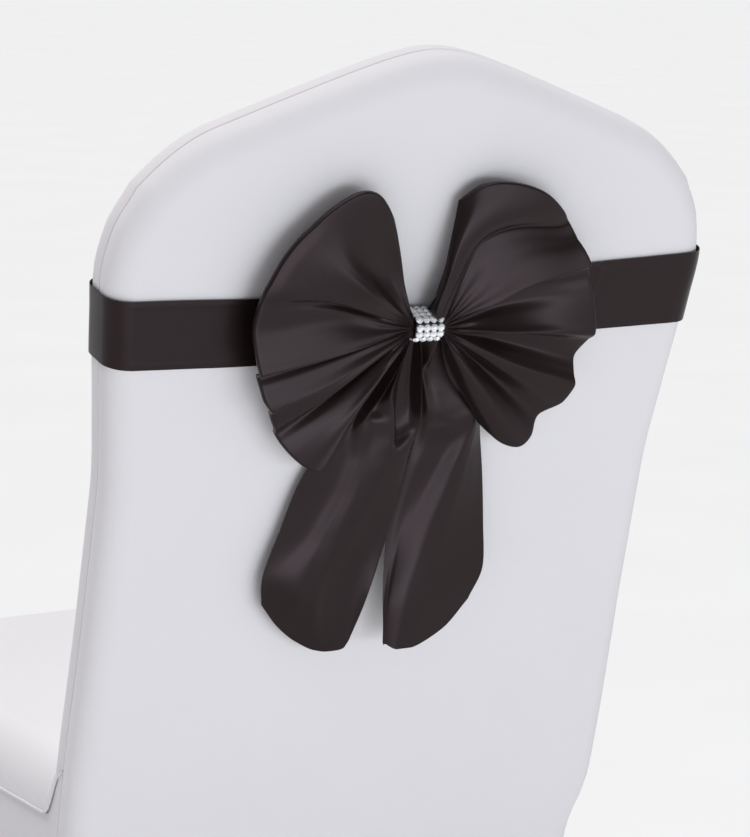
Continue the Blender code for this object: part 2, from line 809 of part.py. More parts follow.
def sash_row(rise, clear):
    """One line round the back's section at a rise above the sash's middle."""
    row = []
    flat_depth = 0.5 * BACK_THICKNESS - BACK_TURN
    for side in (-1.0, 1.0):
        bulge = BACK_BULGE if side < 0.0 else INSIDE_BULGE
        for share in steps(14):
            flat = -side * blend(-1.0, 1.0, share)
            height = sash_height(flat * SHOULDER_END, rise)
            x = flat * (half_width(height) - BACK_TURN)
            depth = face_depth(x, height, bulge) + clear
            row.append(back_point(x, height, side * depth))
        height = sash_height(-side * SHOULDER_END, rise)
        reach = half_width(height) - BACK_TURN
        for face, turns in ((side, SASH_TURNS), (-side, SASH_TURNS[::-1])):
            for degrees in turns:
                turn = math.radians(degrees)
                x = -side * (reach + (BACK_TURN + clear) * math.sin(turn))
                depth = flat_depth + (BACK_TURN + clear) * math.cos(turn)
                row.append(back_point(x, height, face * depth))
    return row


def add_sash_band(satin):
    rises = [SASH_HEIGHT * (t - 0.5) for t in steps(5)]
    outer = [sash_row(rise, SASH_CLEAR + SASH_CLOTH) for rise in rises]
    inner = [sash_row(rise, SASH_CLEAR) for rise in rises]
    stations = len(outer[0])
    grid = [[(outer[r][i], inner[r][i]) for r in range(len(rises))] for i in range(stations)]
    return add_sheet("sash_band", grid, satin, ring=True)


# -------------------------------------------------------------------- the bow

SASH_FACE = 0.5 * BACK_THICKNESS + BACK_BULGE + SASH_CLEAR + SASH_CLOTH


def bow_point(x, rise, lift):
    """A point by its place from the knot and its lift off the sash's face."""
    return back_point(KNOT_X + x, SASH_LEVEL + rise, -(SASH_FACE + lift))


RIM_TURN = [-60.0, -20.0, 20.0, 60.0]
FRONT_SHARES = [0.0, 0.14, 0.32, 0.52, 0.72, 0.9]
BACK_SHARES = [0.9, 0.66, 0.36, 0.0]


def wing_profile(pleat, share, side, waist_rise):
    """Place of a pleat line at a share of its way from the knot to the rim."""
    angle = math.radians(pleat.angle)
    rim_x = pleat.reach * math.cos(angle)
    rim_rise = pleat.reach * math.sin(angle)
    x = blend(RING_HALF_WIDTH + 1.0, rim_x, share)
    rise = blend(waist_rise, rim_rise, share)
    return side * x, rise


def front_lift(pleat, share):
    body = WAIST_LIFT + WING_SWELL * math.sin(math.pi * min(1.0, share * 0.75 + 0.05))
    return body + pleat.lift * ease(share * 1.3) * 0.9


def back_lift(pleat, share):
    return REAR_LIFT + REAR_SWELL * math.sin(math.pi * share) + 0.12 * pleat.lift * share


def wing_line(pleat, side, waist_rise):
    """Lift-and-place line over one wing: out along the front, back along the rear."""
    line = []
    for share in FRONT_SHARES:
        x, rise = wing_profile(pleat, share, side, waist_rise)
        line.append((x, rise, front_lift(pleat, share)))
    top = front_lift(pleat, 0.9)
    low = back_lift(pleat, 0.9)
    middle = 0.5 * (top + low)
    half = 0.5 * (top - low)
    for turn in RIM_TURN:
        bend = math.radians(turn)
        share = 0.93 + 0.07 * math.cos(bend)
        x, rise = wing_profile(pleat, share, side, waist_rise)
        line.append((x, rise, middle - half * math.sin(bend)))
    for share in BACK_SHARES:
        x, rise = wing_profile(pleat, share, side, waist_rise)
        line.append((x, rise, back_lift(pleat, share)))
    return line


def fine_pleats(pleats, count):
    """The pleat table read at even places, so that its folds are rounded."""
    return [table_row(pleats, t) for t in steps(count)]


def offset_grid(points, thickness, ring):
    """Pairs of outer and inner points, the inner ones a cloth's thickness away."""
    rows, columns = len(points), len(points[0])
    grid = []
    for i in range(rows):
        row = []
        for j in range(columns):
            ahead = points[(i + 1) % rows] if ring else points[min(i + 1, rows - 1)]
            behind = points[i - 1] if ring else points[max(i - 1, 0)]
            along = [ahead[j][k] - behind[j][k] for k in range(3)]
            right = points[i][min(j + 1, columns - 1)]
            left = points[i][max(j - 1, 0)]
            across = [right[k] - left[k] for k in range(3)]
            normal = (
                along[1] * across[2] - along[2] * across[1],
                along[2] * across[0] - along[0] * across[2],
                along[0] * across[1] - along[1] * across[0],
            )
            length = math.sqrt(sum(c * c for c in normal))
            here = points[i][j]
            row.append((here, tuple(here[k] + thickness * normal[k] / length for k in range(3))))
        grid.append(row)
    return grid


def add_bow(satin):
    count = 30
    left = fine_pleats(LEFT_PLEATS, count)
    right = fine_pleats(RIGHT_PLEATS, count)
    lines = []
    for i, t in enumerate(steps(count)):
        waist_rise = blend(WAIST_HALF, -WAIST_HALF, t)
        path = wing_line(right[i], 1.0, waist_rise)
        path.append((0.0, waist_rise, back_lift(right[i], 0.0)))
        path += wing_line(left[i], -1.0, waist_rise)[::-1]
        path.append((0.0, waist_rise, front_lift(left[i], 0.0)))
        lines.append([bow_point(*place) for place in path])
    stations = [[line[i] for line in lines] for i in range(len(lines[0]))]
    return add_sheet("bow", offset_grid(stations, BOW_CLOTH, ring=True), satin, ring=True)


# ------------------------------------------------------------------ the tails


def tail_point(tail, t, across):
    """A point on a tail: t runs down it, across runs from -1 to 1."""
    row = table_row(tail.rows, t)
    share = 0.5 * (across + 1.0)
    x = blend(row.left_x, row.right_x, share)
    rise = blend(row.left_z, row.right_z, share)
    rise -= tail.end_bulge * (1.0 - across ** 4) * ease((t - 0.7) / 0.3)
    free = ease(1.3 - abs(x - TAIL_MIDDLE) / (0.75 * abs(rise) + 1.0))
    free *= ease((x - tail.folds_from) / 14.0)
    fold = sum(f.height * math.exp(-((across - f.across) / f.width) ** 2) for f in tail.folds)
    return bow_point(x, rise, row.lift + free * row.pucker * fold)


def add_tail(tail, satin):
    across = [blend(-1.0, 1.0, t) for t in steps(14)]
    points = [[tail_point(tail, t, place) for place in across] for t in steps(18)]
    return add_sheet(tail.name, offset_grid(points, -BOW_CLOTH, ring=False), satin)


# ------------------------------------------------------- the rhinestone band


def add_rhinestone_band(metal):
    """A closed band round the bow's waist, its axis across the chair."""
    middle = 0.5 * (RING_LOW + RING_HIGH)
    half_depth = 0.5 * (RING_HIGH - RING_LOW)
    corner = RING_CORNER
    grid = []
    for quarter in range(4):
        for t in steps(4):
            turn = 0.5 * math.pi * (quarter + t)
            centre = 0.5 * math.pi * (quarter + 0.5)
            out = (math.cos(turn), math.sin(turn))
            rise = math.copysign(RING_HALF_HEIGHT - corner, math.cos(centre)) + corner * out[0]
            lift = math.copysign(half_depth - corner, math.sin(centre)) + corner * out[1]
            inner = (rise - RING_WALL * out[0], lift - RING_WALL * out[1])
            row = []
            for x in (-RING_HALF_WIDTH, RING_HALF_WIDTH):
                outer_point = bow_point(x, rise, middle + lift)
                row.append((outer_point, bow_point(x, inner[0], middle + inner[1])))
            grid.append(row)
    return add_sheet("rhinestone_band", grid, metal, ring=True)


# ------------------------------------------------------------------ the object


def clear_scene():
    for thing in list(bpy.data.objects):
        bpy.data.objects.remove(thing, do_unlink=True)


def main():
    clear_scene()
    knit = make_material("white stretch knit", (0.66, 0.65, 0.68), 0.85)
    satin = make_material("black coated satin", (0.030, 0.023, 0.025), 0.42)
    mesh_metal = make_material("rhinestones on silver mesh", (0.75, 0.75, 0.77), 0.2, 0.9)
    add_back_panel(knit)
    add_front_panel(knit)
    add_seat_panel(knit)
    add_side_skirt("side_skirt_left", -1.0, knit)
    add_side_skirt("side_skirt_right", 1.0, knit)
    add_front_skirt(knit)
    add_pockets(knit)
    add_sash_band(satin)
    add_bow(satin)
    for tail in TAILS:
        add_tail(tail, satin)
    add_rhinestone_band(mesh_metal)


main()
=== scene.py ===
"""Dresses a stretch chair cover with a bow sash, for Blender 4.5.

The white knitted cover is built panel by panel as thin cloth with its seams and hems
turned in.  The black satin sash, its pleated bow and its two tails are built from
fold tables, and the knot's band gets its glass stones in silver cups.

Sizes in the tables are millimetres.  X runs across the chair, +Y is its front, +Z is
up, and the back has a frame of its own: a place across, a height up the back from the
seat, and a depth forward from the back's middle plane.
"""

from collections import namedtuple
import math

import bmesh
import bpy
from bpy.props import FloatProperty, FloatVectorProperty, IntProperty, PointerProperty, StringProperty
from mathutils import Matrix, Vector


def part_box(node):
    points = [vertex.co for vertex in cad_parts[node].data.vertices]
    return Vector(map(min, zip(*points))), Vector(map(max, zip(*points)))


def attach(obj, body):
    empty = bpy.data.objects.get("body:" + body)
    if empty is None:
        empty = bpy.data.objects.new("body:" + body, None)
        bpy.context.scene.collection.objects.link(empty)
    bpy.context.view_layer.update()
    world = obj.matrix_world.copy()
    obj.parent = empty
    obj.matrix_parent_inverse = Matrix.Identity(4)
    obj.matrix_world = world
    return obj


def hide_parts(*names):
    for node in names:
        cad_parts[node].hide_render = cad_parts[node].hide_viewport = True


bl_info = {
    "name": "Chair cover with a bow sash",
    "version": (1, 0, 0),
    "blender": (4, 5, 0),
    "location": "3D View > Sidebar > Chair cover",
    "description": "Builds the cloth, stones and stage of a stretch chair cover with a bow sash",
    "category": "Add Mesh",
}

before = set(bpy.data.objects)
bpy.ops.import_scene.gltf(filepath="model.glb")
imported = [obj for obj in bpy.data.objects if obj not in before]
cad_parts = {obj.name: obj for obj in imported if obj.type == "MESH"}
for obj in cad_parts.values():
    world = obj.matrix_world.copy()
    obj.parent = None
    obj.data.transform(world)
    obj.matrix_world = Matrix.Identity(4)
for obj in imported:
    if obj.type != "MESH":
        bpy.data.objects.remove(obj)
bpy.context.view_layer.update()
MM = 0.001
BODY = "root"
KNIT_SLOT = "white_stretch_knit"
SATIN_SLOT = "black_satin"
STONE_SLOT = "rhinestone_mesh"
SIDES = (("left", -1.0), ("right", 1.0))

# ------------------------------------------------------------- cover, in millimetres

SEAT_TOP = 450.0
SEAT_CROWN = 9.0
SEAT_DEPTH = 410.0
SEAT_TURN = 26.0
SEAT_FRONT_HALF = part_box("seat_panel")[1].x / MM
SPINE_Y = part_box("seat_panel")[1].y / MM - SEAT_DEPTH
BOXING = 35.0
BOXING_REAR = 1.5
BOXING_RUN = 26.0
CORNER_TOP = 45.0
CORNER_FOOT = 14.0

BACK_LEAN = math.radians(14.0)
LEG_SPLAY = math.radians(6.0)
KNEE_TOP = -60.0
KNEE_RUN = 80.0
BACK_THICKNESS = 40.0
BACK_TURN = 13.0
FLAT_DEPTH = 0.5 * BACK_THICKNESS - BACK_TURN
OUTSIDE_TURN = 17.0         # run of the outside back's softer turn, in from its edge
BACK_BULGE = 2.0
INSIDE_BULGE = 9.0
PAD_RUN = 120.0
PAD_START = 0.3
PAD_FADE = 90.0

CROWN_HEIGHT = 474.5
CROWN_SLOPE = 0.40
CROWN_ROUND = 30.0
CROWN_TOP_HALF = 60.0
SHOULDER_START = 146.0
SHOULDER_END = 193.0
SHOULDER_DROP = 18.0

SEAM_GAP = 0.3
SEAT_GAP = 1.0
POCKET_HEIGHT = 60.0
POCKET_SIDE = 40.0
BACK_HEM = POCKET_HEIGHT + 3.0      # the outside back ends a little over its pockets
ARCH_FRONT = 190.0
ARCH_SIDE = 200.0
ARCH_BACK = 130.0

SideRow = namedtuple("SideRow", "height half_width")
BACK_SIDES = [SideRow(*row) for row in (
    (-470, 184), (-250, 184), (-120, 184), (-90, 186), (-75, 189.8), (-60, 194.8), (-40, 198),
    (0, 198.5), (110, 197), (189, 197), (248, 202), (285, 206.2), (310, 208.4), (336, 210.6),
    (364, 206), (390, 193),
)]

# --------------------------------------------------------- sash and bow, in millimetres

SASH_CLOTH = 1.1
SASH_CLEAR = 0.85
SASH_LEVEL = 308.0
SashPlace = namedtuple("SashPlace", "x middle half_height")
SASH_PLACES = [SashPlace(*row) for row in (
    (-212, -3.8, 22), (-166, -4.2, 22.2), (-118, -5, 22), (-55, -4, 20.5), (-14, -1.3, 6),
    (12, -1.3, 6), (55, 2.5, 21.5), (122, 7.4, 23.3), (166, 8.8, 23.8), (212, 10.2, 24.4),
)]
SASH_CREASE = 126.0         # an upright crease beside the right wing
SASH_FACE = 0.5 * BACK_THICKNESS + BACK_BULGE + SASH_CLEAR + SASH_CLOTH
KNOT_X = -2.0
RING_MIDDLE = -1.0
RING_HALF_WIDTH = 9.9
RingCorner = namedtuple("RingCorner", "rise lift")
RING_CORNERS = [RingCorner(*row) for row in ((3.6, 18.5), (-6.2, 18.5), (-8, 4.2), (6.5, 4.2))]
RING_TURN = 2.6
WAIST_TOP = 2.2
WAIST_FOOT = -4.8
WAIST_LIFT = 16.8
WING_SWELL = 5.0
REAR_LIFT = 6.0
REAR_SWELL = 1.5
OVERHANG = 9.0              # the right wing's top fold billows this far over the band
PLEAT_COUNT = 15            # small pleats that run out of the band into each wing
PLEAT_LIFT = 0.9
PLEAT_RUN = 0.16
RIM_SHOULDER = 0.9          # drop of the left wing's sloping shoulder along its rim
LEFT_LEAN = 4.0             # how far the wings' tops lean back to the cover
RIGHT_LEAN = 8.0
EDGE_DEPTH = 5.0            # depth of a wing's outer edges, from its front to its rear layer
EDGE_TURN = 0.03            # how much of a wing, top and foot, turns back to its rear layer

# A fold line runs from the knot to the wing's rim.  Its angles over the horizontal are
# given halfway and at the rim, its reach from the knot, and its lift off the mean face
# near the knot and far from it.
FoldLine = namedtuple("FoldLine", "middle rim reach near far")
LEFT_FOLDS = [
    (64.5, 64, 78.5, -5, -3), (61, 61, 101.5, -6, -1), (53, 55, 111, -6, -0.5), (43, 45, 115, -2, 0),
    (35.5, 37, 117, 4, 0.6), (31.5, 31, 119.5, 5.6, 1), (28, 26, 121, 4.5, 1.2),
    (22.5, 18, 122.5, 2.6, 1.2), (18.4, 13.5, 123.5, 1.6, 0.4), (16.2, 10.4, 123.5, -6.5, -1),
    (13, 7.5, 123.5, -4.5, -1.6), (7.5, 3, 123.5, -3.5, -2), (0, -3, 122, -1, 0),
    (-8, -9, 120.5, 1.4, 3), (-12, -11.3, 120, 2.4, 4), (-13.6, -12.9, 119.5, -4, -2),
    (-16, -15.5, 119.5, -2, 0.2), (-21, -19.5, 119.5, -0.4, 2.4), (-27, -24, 117.5, 1.6, 4.4),
    (-28.5, -26, 117, -3, -1), (-34, -31.5, 117.5, -2, -2), (-37, -34.5, 118, -9, -6),
    (-40.5, -38, 118.5, -4, -3.5), (-46, -44, 118, -1, -0.5), (-50, -50.5, 116, 1, 1),
    (-54, -55.5, 111, -4, -2), (-56.5, -57, 102, -8, -6),
]
RIGHT_FOLDS = [
    (86.5, 83.5, 83, -1, -3), (82, 75.5, 97, -0.4, -1), (77, 63.5, 105.5, -0.6, 0.6),
    (71.8, 50, 111.5, -1.8, 1.2), (69, 41, 112.5, -3.4, -0.6), (67.4, 37.5, 112, -5.4, -2),
    (65.5, 36, 112, -5, -1.8), (58, 32.5, 112, -3.2, -1.2), (49, 30, 112, -0.9, -0.7),
    (40, 27.5, 113, 1.4, -0.1), (31, 24, 114.5, 3.3, 0.6), (25.2, 19.5, 116, 4.2, 1.4),
    (24, 17.8, 115.5, -4, -2), (20.5, 15, 115.5, -7.5, -3), (14, 11, 116, -7, -1.5),
    (7, 6, 117.5, -3, 0), (0, 0, 119.5, 1, 1.5), (-3.5, -4, 120.5, 3.5, 2.5),
    (-6.5, -7, 118.5, -6.5, -1.5), (-13, -13, 114.5, -8, -4.5), (-19, -18, 117, -3, -1.5),
    (-24, -22, 120.5, 1, 1.5), (-29, -27.5, 120, 0, 0), (-36, -36, 114, -9, -6),
    (-42, -42.5, 117, -2.5, -1), (-47.5, -47.5, 114.5, 1, 2), (-53, -52.5, 102, -1, -0.5),
    (-57, -54.5, 87, -7, -5),
]

# A tail hangs on lines that run from the knot to its end, from its left edge to its right.
TailPoint = namedtuple("TailPoint", "x rise lift")
LEFT_TAIL = {
    "left edge": [
        (-8, 3, 3.3), (-8.5, -7.6, 3.4), (-9, -11, 3.5), (-15, -24, 3.8), (-31.8, -48.2, 3.8),
        (-42.3, -62.5, 3.8), (-50, -72.3, 3.8), (-57.2, -82, 3.8), (-61.6, -89.9, 3.8),
        (-71, -111, 3.8), (-78.5, -138, 4), (-86.8, -172, 4), (-84.5, -189.5, 3.5),
    ],
    "foot of the long fold": [
        (-7.5, 3, 3.3), (-8, -7.6, 3.5), (-8.8, -11, 5), (-14.3, -24, 6), (-26.5, -46, 4.5),
        (-35, -60, 4.6), (-39, -71, 5), (-40.5, -80, 5), (-40, -90, 5), (-46, -112, 5),
        (-60, -141, 5.6), (-79, -173, 6.4), (-72, -205, 4),
    ],
    "long fold": [
        (-7, 3, 3.3), (-7.5, -7.6, 3.8), (-8.2, -11, 9), (-12.6, -24, 12), (-22.3, -45, 12),
        (-30.4, -60, 11), (-33, -67, 9.6), (-32.5, -80, 7.6), (-31.5, -91, 7.3), (-36, -113, 7.6),
        (-49, -143, 8.5), (-61, -178, 11), (-57, -217.5, 4),
    ],
    "small pocket": [
        (-6, 3, 3.3), (-6.5, -7.6, 3.7), (-7, -11, 6.5), (-10.6, -24, 7), (-18.8, -45, 4.5),
        (-24, -58, 4.8), (-26, -67, 8), (-25, -80, 8), (-25, -91, 8.2), (-29, -113, 8.6),
        (-40, -144, 9.4), (-51, -184, 11), (-43, -224.5, 5),
    ],
    "short fold": [
        (-5, 3, 3.3), (-5.5, -7.6, 3.7), (-6, -11, 6.5), (-9.3, -24, 8), (-16, -45, 10.5),
        (-13.8, -58, 11), (-12.2, -68, 11.2), (-11, -80, 11), (-11, -90, 10), (-20, -112, 8.8),
        (-31, -143, 8.8), (-42, -185, 9), (-34, -226.3, 5),
    ],
    "scoop's left": [
        (-4, 3, 3.3), (-4.4, -7.6, 3.6), (-4.8, -11, 6), (-6.5, -24, 4), (-8, -45, 3.2),
        (-7.5, -58, 3.2), (-6.5, -70, 4.4), (-5.5, -79, 7.4), (-4.5, -87, 10), (-9, -112, 7.6),
        (-19, -144, 6.6), (-32, -186, 7), (-27, -226.4, 4.6),
    ],
    "scoop's right": [
        (-2.5, 3, 3.3), (-3, -7.6, 3.8), (-3.3, -11, 7), (-2.5, -24, 4.5), (-1, -45, 3.2),
        (1, -58, 3.4), (2, -68, 5.6), (2.6, -74.5, 8), (2.5, -83, 9.6), (-1, -112, 6.6),
        (-8, -145, 5.4), (-19, -189, 5.6), (-21.5, -225.5, 4.4),
    ],
    "right fold": [
        (-1, 3, 3.3), (-1.6, -7.6, 4), (-2, -11, 12), (0.2, -24, 13.5), (3.8, -45, 13), (6.3, -58, 12),
        (7.6, -67, 11), (7.6, -73, 9.5), (6.3, -84, 7.6), (3.2, -112, 5.8), (-2, -146, 5),
        (-10, -191, 5), (-18.5, -222, 4),
    ],
    "right edge": [
        (0, 3, 3.3), (-0.9, -7.6, 3.8), (-1, -11, 10), (1, -24, 10.5), (4.6, -45, 9.5), (7.3, -58, 9),
        (8.7, -68, 8), (8.6, -75, 7), (7.3, -86, 6.2), (4.2, -112, 5.2), (-1, -147, 4.6),
        (-9, -190, 4.5), (-17.3, -219.5, 4),
    ],
}
RIGHT_TAIL = {
    "left edge": [
        (-7, 3, 1.7), (-6.5, -7.6, 1.8), (-6, -11, 1.8), (-5, -24, 1.9), (-4, -36, 1.9),
        (-3, -48, 1.9), (-2.5, -60, 1.9), (-2, -70, 1.9), (-1, -86, 1.9), (0, -112, 1.9),
        (0.5, -150, 1.9), (4, -190, 1.9), (8.4, -218, 1.9),
    ],
    "margin": [
        (-4, 3, 1.7), (-2, -7.6, 1.8), (0, -11, 2.2), (3, -24, 2.4), (5.5, -36, 2.6), (8, -49, 3),
        (10, -61, 3.4), (10.5, -71, 3.4), (10, -86, 3), (6.5, -112, 2.6), (3.5, -150, 2.4),
        (5, -190, 2.2), (8.6, -222, 2),
    ],
    "fold under the knot": [
        (-1, 3, 1.7), (4, -7.6, 2), (12.5, -11, 10), (9.5, -25, 8.5), (8.3, -35, 4), (12, -50, 5.5),
        (15, -62, 6.8), (16.5, -72, 6.6), (16, -87, 5), (11, -112, 3.6), (5.5, -150, 3),
        (5.8, -190, 2.8), (8.9, -224.3, 2.2),
    ],
    "valley beside it": [
        (1.5, 3, 1.7), (6, -7.6, 2), (13.5, -11.5, 6), (13.3, -26, 3.4), (12.3, -37, 3.4),
        (16, -51, 5.8), (20, -63, 8), (23, -72, 8.6), (22, -86, 6), (16, -112, 4.2), (8, -150.5, 3.6),
        (6.8, -190, 3.4), (9.4, -225.8, 2.6),
    ],
    "peak": [
        (3.5, 3, 1.7), (7.5, -7.6, 2), (14.5, -12, 6), (16.5, -26, 3.2), (18, -37, 3.8),
        (21, -51, 6.8), (27, -63, 9.4), (33, -71, 10.4), (32, -85, 7.4), (23.5, -111, 5.2),
        (11, -151, 4.8), (8, -190, 4.4), (10.4, -225, 3.2),
    ],
    "hollow and long fold": [
        (5.5, 3, 1.7), (8.5, -7.6, 2.2), (15.5, -12, 6), (21.5, -26, 3), (26, -37, 3.6), (33, -48, 6),
        (42, -58, 9), (46, -67, 11), (43, -82.5, 10.8), (36.5, -110.5, 9.4), (25.5, -151.5, 9.2),
        (19, -190, 8), (18, -228.2, 5.8),
    ],
    "side fold": [
        (7, 3, 1.7), (9.5, -7.6, 3), (16.7, -10.5, 12), (26.5, -24, 12.5), (34, -35.5, 12),
        (42, -46.5, 12), (50.5, -57, 11), (51, -66.5, 9), (48.5, -83, 9.6), (43.5, -111, 9),
        (34, -152, 9), (28, -190, 7.8), (28, -228.2, 5.6),
    ],
    "side fold's right": [
        (8, 3, 1.7), (10.2, -7.6, 3), (17.2, -10.3, 10.5), (27.2, -24, 11), (34.7, -35.7, 10.5),
        (42.8, -46.8, 9.5), (51.2, -57.2, 9.5), (52.7, -66.2, 7.5), (52.5, -81.5, 7.4), (52, -109, 7),
        (50, -149, 6.6), (49, -184, 5.6), (51, -217.6, 4),
    ],
    "right edge": [
        (9, 3, 1.7), (11, -7.6, 2.8), (17.9, -10, 9), (28, -24.3, 9), (35.5, -36, 8.5),
        (43.5, -47, 8.5), (52, -57.6, 8.5), (54, -65.5, 5), (57, -80, 4), (63.5, -107, 3),
        (70.5, -144, 2.8), (75.5, -176, 2.6), (68, -199, 2.4),
    ],
}
TAIL_HANG = (0.03, 0.08)    # how far the left and the right tail swing out per length
HANG_LEFT, HANG_ACROSS = -60.0, 60.0
HANG_START, HANG_RUN = -60.0, 40.0
END_HANG = 0.09             # how much more the ends swing out, from the left tail's edge on
END_LEFT, END_ACROSS = -22.0, 26.0
END_START, END_RUN = -120.0, 80.0
Tail = namedtuple("Tail", "name lines flat")
TAILS = [
    Tail("tail_left", LEFT_TAIL, (0.095, 0.235)),
    Tail("tail_right", RIGHT_TAIL, (0.095, 0.235)),
]

# ------------------------------------------------------------------ small maths


def blend(low, high, amount):
    """Straight mix of two numbers."""
    return low + (high - low) * amount


def clamp(value, low, high):
    return max(low, min(high, value))


def ease(value):
    """Smooth step from 0 to 1."""
    value = clamp(value, 0.0, 1.0)
    return value * value * (3.0 - 2.0 * value)


def steps(count):
    """Even places from 0 to 1."""
    return [i / count for i in range(count + 1)]


def smooth_curve(keys, values, position):
    """Cubic curve through the values, flat where they turn, straight outside."""
    if position <= keys[0]:
        return values[0]
    if position >= keys[-1]:
        return values[-1]
    last = len(keys) - 1
    index = max(i for i in range(last) if keys[i] <= position)

    def rate(i):
        return (values[i + 1] - values[i]) / (keys[i + 1] - keys[i])

    def slope(i):
        if i == 0 or i == last:
            return rate(min(i, last - 1))
        before, after = rate(i - 1), rate(i)
        if before * after <= 0.0:
            return 0.0
        return 2.0 * before * after / (before + after)

    span = keys[index + 1] - keys[index]
    t = (position - keys[index]) / span
    start = (2.0 * t + 1.0) * (t - 1.0) ** 2 * values[index]
    start += t * (t - 1.0) ** 2 * span * slope(index)
    end = t * t * (3.0 - 2.0 * t) * values[index + 1]
    end += t * t * (t - 1.0) * span * slope(index + 1)
    return start + end


def table_row(kind, rows, share):
    """A row of a table at a share of the way down it, drawn smoothly between its rows."""
    at = share * (len(rows) - 1)
    return kind(*(smooth_curve(range(len(rows)), column, at) for column in zip(*rows)))


def edge_graded(count, pull=0.6):
    """Places from 0 to 1 that lie closer together near both ends."""
    return [blend(t, 0.5 - 0.5 * math.cos(math.pi * t), pull) for t in steps(count)]


# -------------------------------------------------------- the back's own frame


def spine(height):
    """Forward place, level and lean of the back's middle plane at a height."""
    if height >= KNEE_TOP:
        forward = -height * math.sin(BACK_LEAN)
        return forward, SEAT_TOP + height * math.cos(BACK_LEAN), BACK_LEAN
    radius = KNEE_RUN / (BACK_LEAN + LEG_SPLAY)
    below = KNEE_TOP - height
    lean = BACK_LEAN - min(below, KNEE_RUN) / radius
    forward = -KNEE_TOP * math.sin(BACK_LEAN)
    level = SEAT_TOP + KNEE_TOP * math.cos(BACK_LEAN)
    forward += radius * (math.cos(lean) - math.cos(BACK_LEAN))
    level -= radius * (math.sin(BACK_LEAN) - math.sin(lean))
    straight = max(0.0, below - KNEE_RUN)
    forward += straight * math.sin(lean)
    level -= straight * math.cos(lean)
    return forward, level, lean


def back_point(x, height, depth):
    """A point by its place across, its height up the back and its depth forward."""
    forward, level, lean = spine(height)
    y = SPINE_Y + forward + depth * math.cos(lean)
    return (x, y, level + depth * math.sin(lean))


def height_at_level(level):
    """The height up the back whose middle plane lies at this level."""
    low, high = BACK_SIDES[0].height - 20.0, CROWN_HEIGHT
    for _ in range(40):
        middle = 0.5 * (low + high)
        if spine(middle)[1] < level:
            low = middle
        else:
            high = middle
    return low


def half_width(height):
    """Half the back's width at a height."""
    heights, halves = zip(*BACK_SIDES)
    return smooth_curve(heights, halves, height)


def crown(x):
    """Height of the back's top edge over a place across."""
    slope = CROWN_SLOPE * (math.hypot(x, CROWN_ROUND) - CROWN_ROUND)
    shoulder = max(0.0, abs(x) - SHOULDER_START) / (SHOULDER_END - SHOULDER_START)
    return CROWN_HEIGHT - slope - SHOULDER_DROP * shoulder ** 2


def pad_depth(x, height, bulge):
    """How far a face of the back stands proud of its flat."""
    across = clamp(x / half_width(height), -1.0, 1.0)
    pad = bulge * (1.0 - across ** 2) * ease(height / PAD_RUN + PAD_START)
    return pad * ease((crown(x) - height) / PAD_FADE)


def turned(distance, radius):
    """Outward share of a surface that turns over an edge, at a distance in from it."""
    sideways = 1.0 - clamp(distance / radius, 0.0, 1.0)
    return math.sqrt(max(0.0, 1.0 - sideways * sideways))


# ----------------------------------------------------------------- making cloth

WELD_REACH = 0.02
SMOOTH_ANGLE = math.radians(50.0)


class Cloth:
    """Points, flat places and quads of a cloth before it gets its thickness."""

    def __init__(self):
        self.points, self.flat, self.quads = [], [], []

    def add(self, point, flat):
        self.points.append(point)
        self.flat.append(flat)
        return len(self.points) - 1

    def rows(self, grid):
        """Joins rows of point numbers with quads."""
        for near, far in zip(grid[:-1], grid[1:]):
            for i in range(len(near) - 1):
                self.quads.append((near[i], near[i + 1], far[i + 1], far[i]))


def woven(rows):
    """A cloth of rows of points, each point with its flat place."""
    cloth = Cloth()
    cloth.rows([[cloth.add(point, flat) for point, flat in row] for row in rows])
    return cloth


def linked_object(name, data):
    """A new object with this data, in the scene."""
    made = bpy.data.objects.new(name, data)
    bpy.context.scene.collection.objects.link(made)
    return made


def cloth_object(name, cloth, make_material, flip=False):
    """A mesh object of a cloth in metres, its UV map in metres of flat cloth."""
    mesh = bpy.data.meshes.new(name)
    faces = [tuple(dict.fromkeys(quad)) for quad in cloth.quads]
    faces = [face[::-1] for face in faces] if flip else faces
    mesh.from_pydata([[MM * c for c in p] for p in cloth.points], [], faces)
    layer = mesh.uv_layers.new(name="flat_cloth")
    for loop in mesh.loops:
        u, v = cloth.flat[loop.vertex_index]
        layer.data[loop.index].uv = (MM * u, MM * v)
    mesh.materials.append(material(make_material))
    return linked_object(name, mesh)


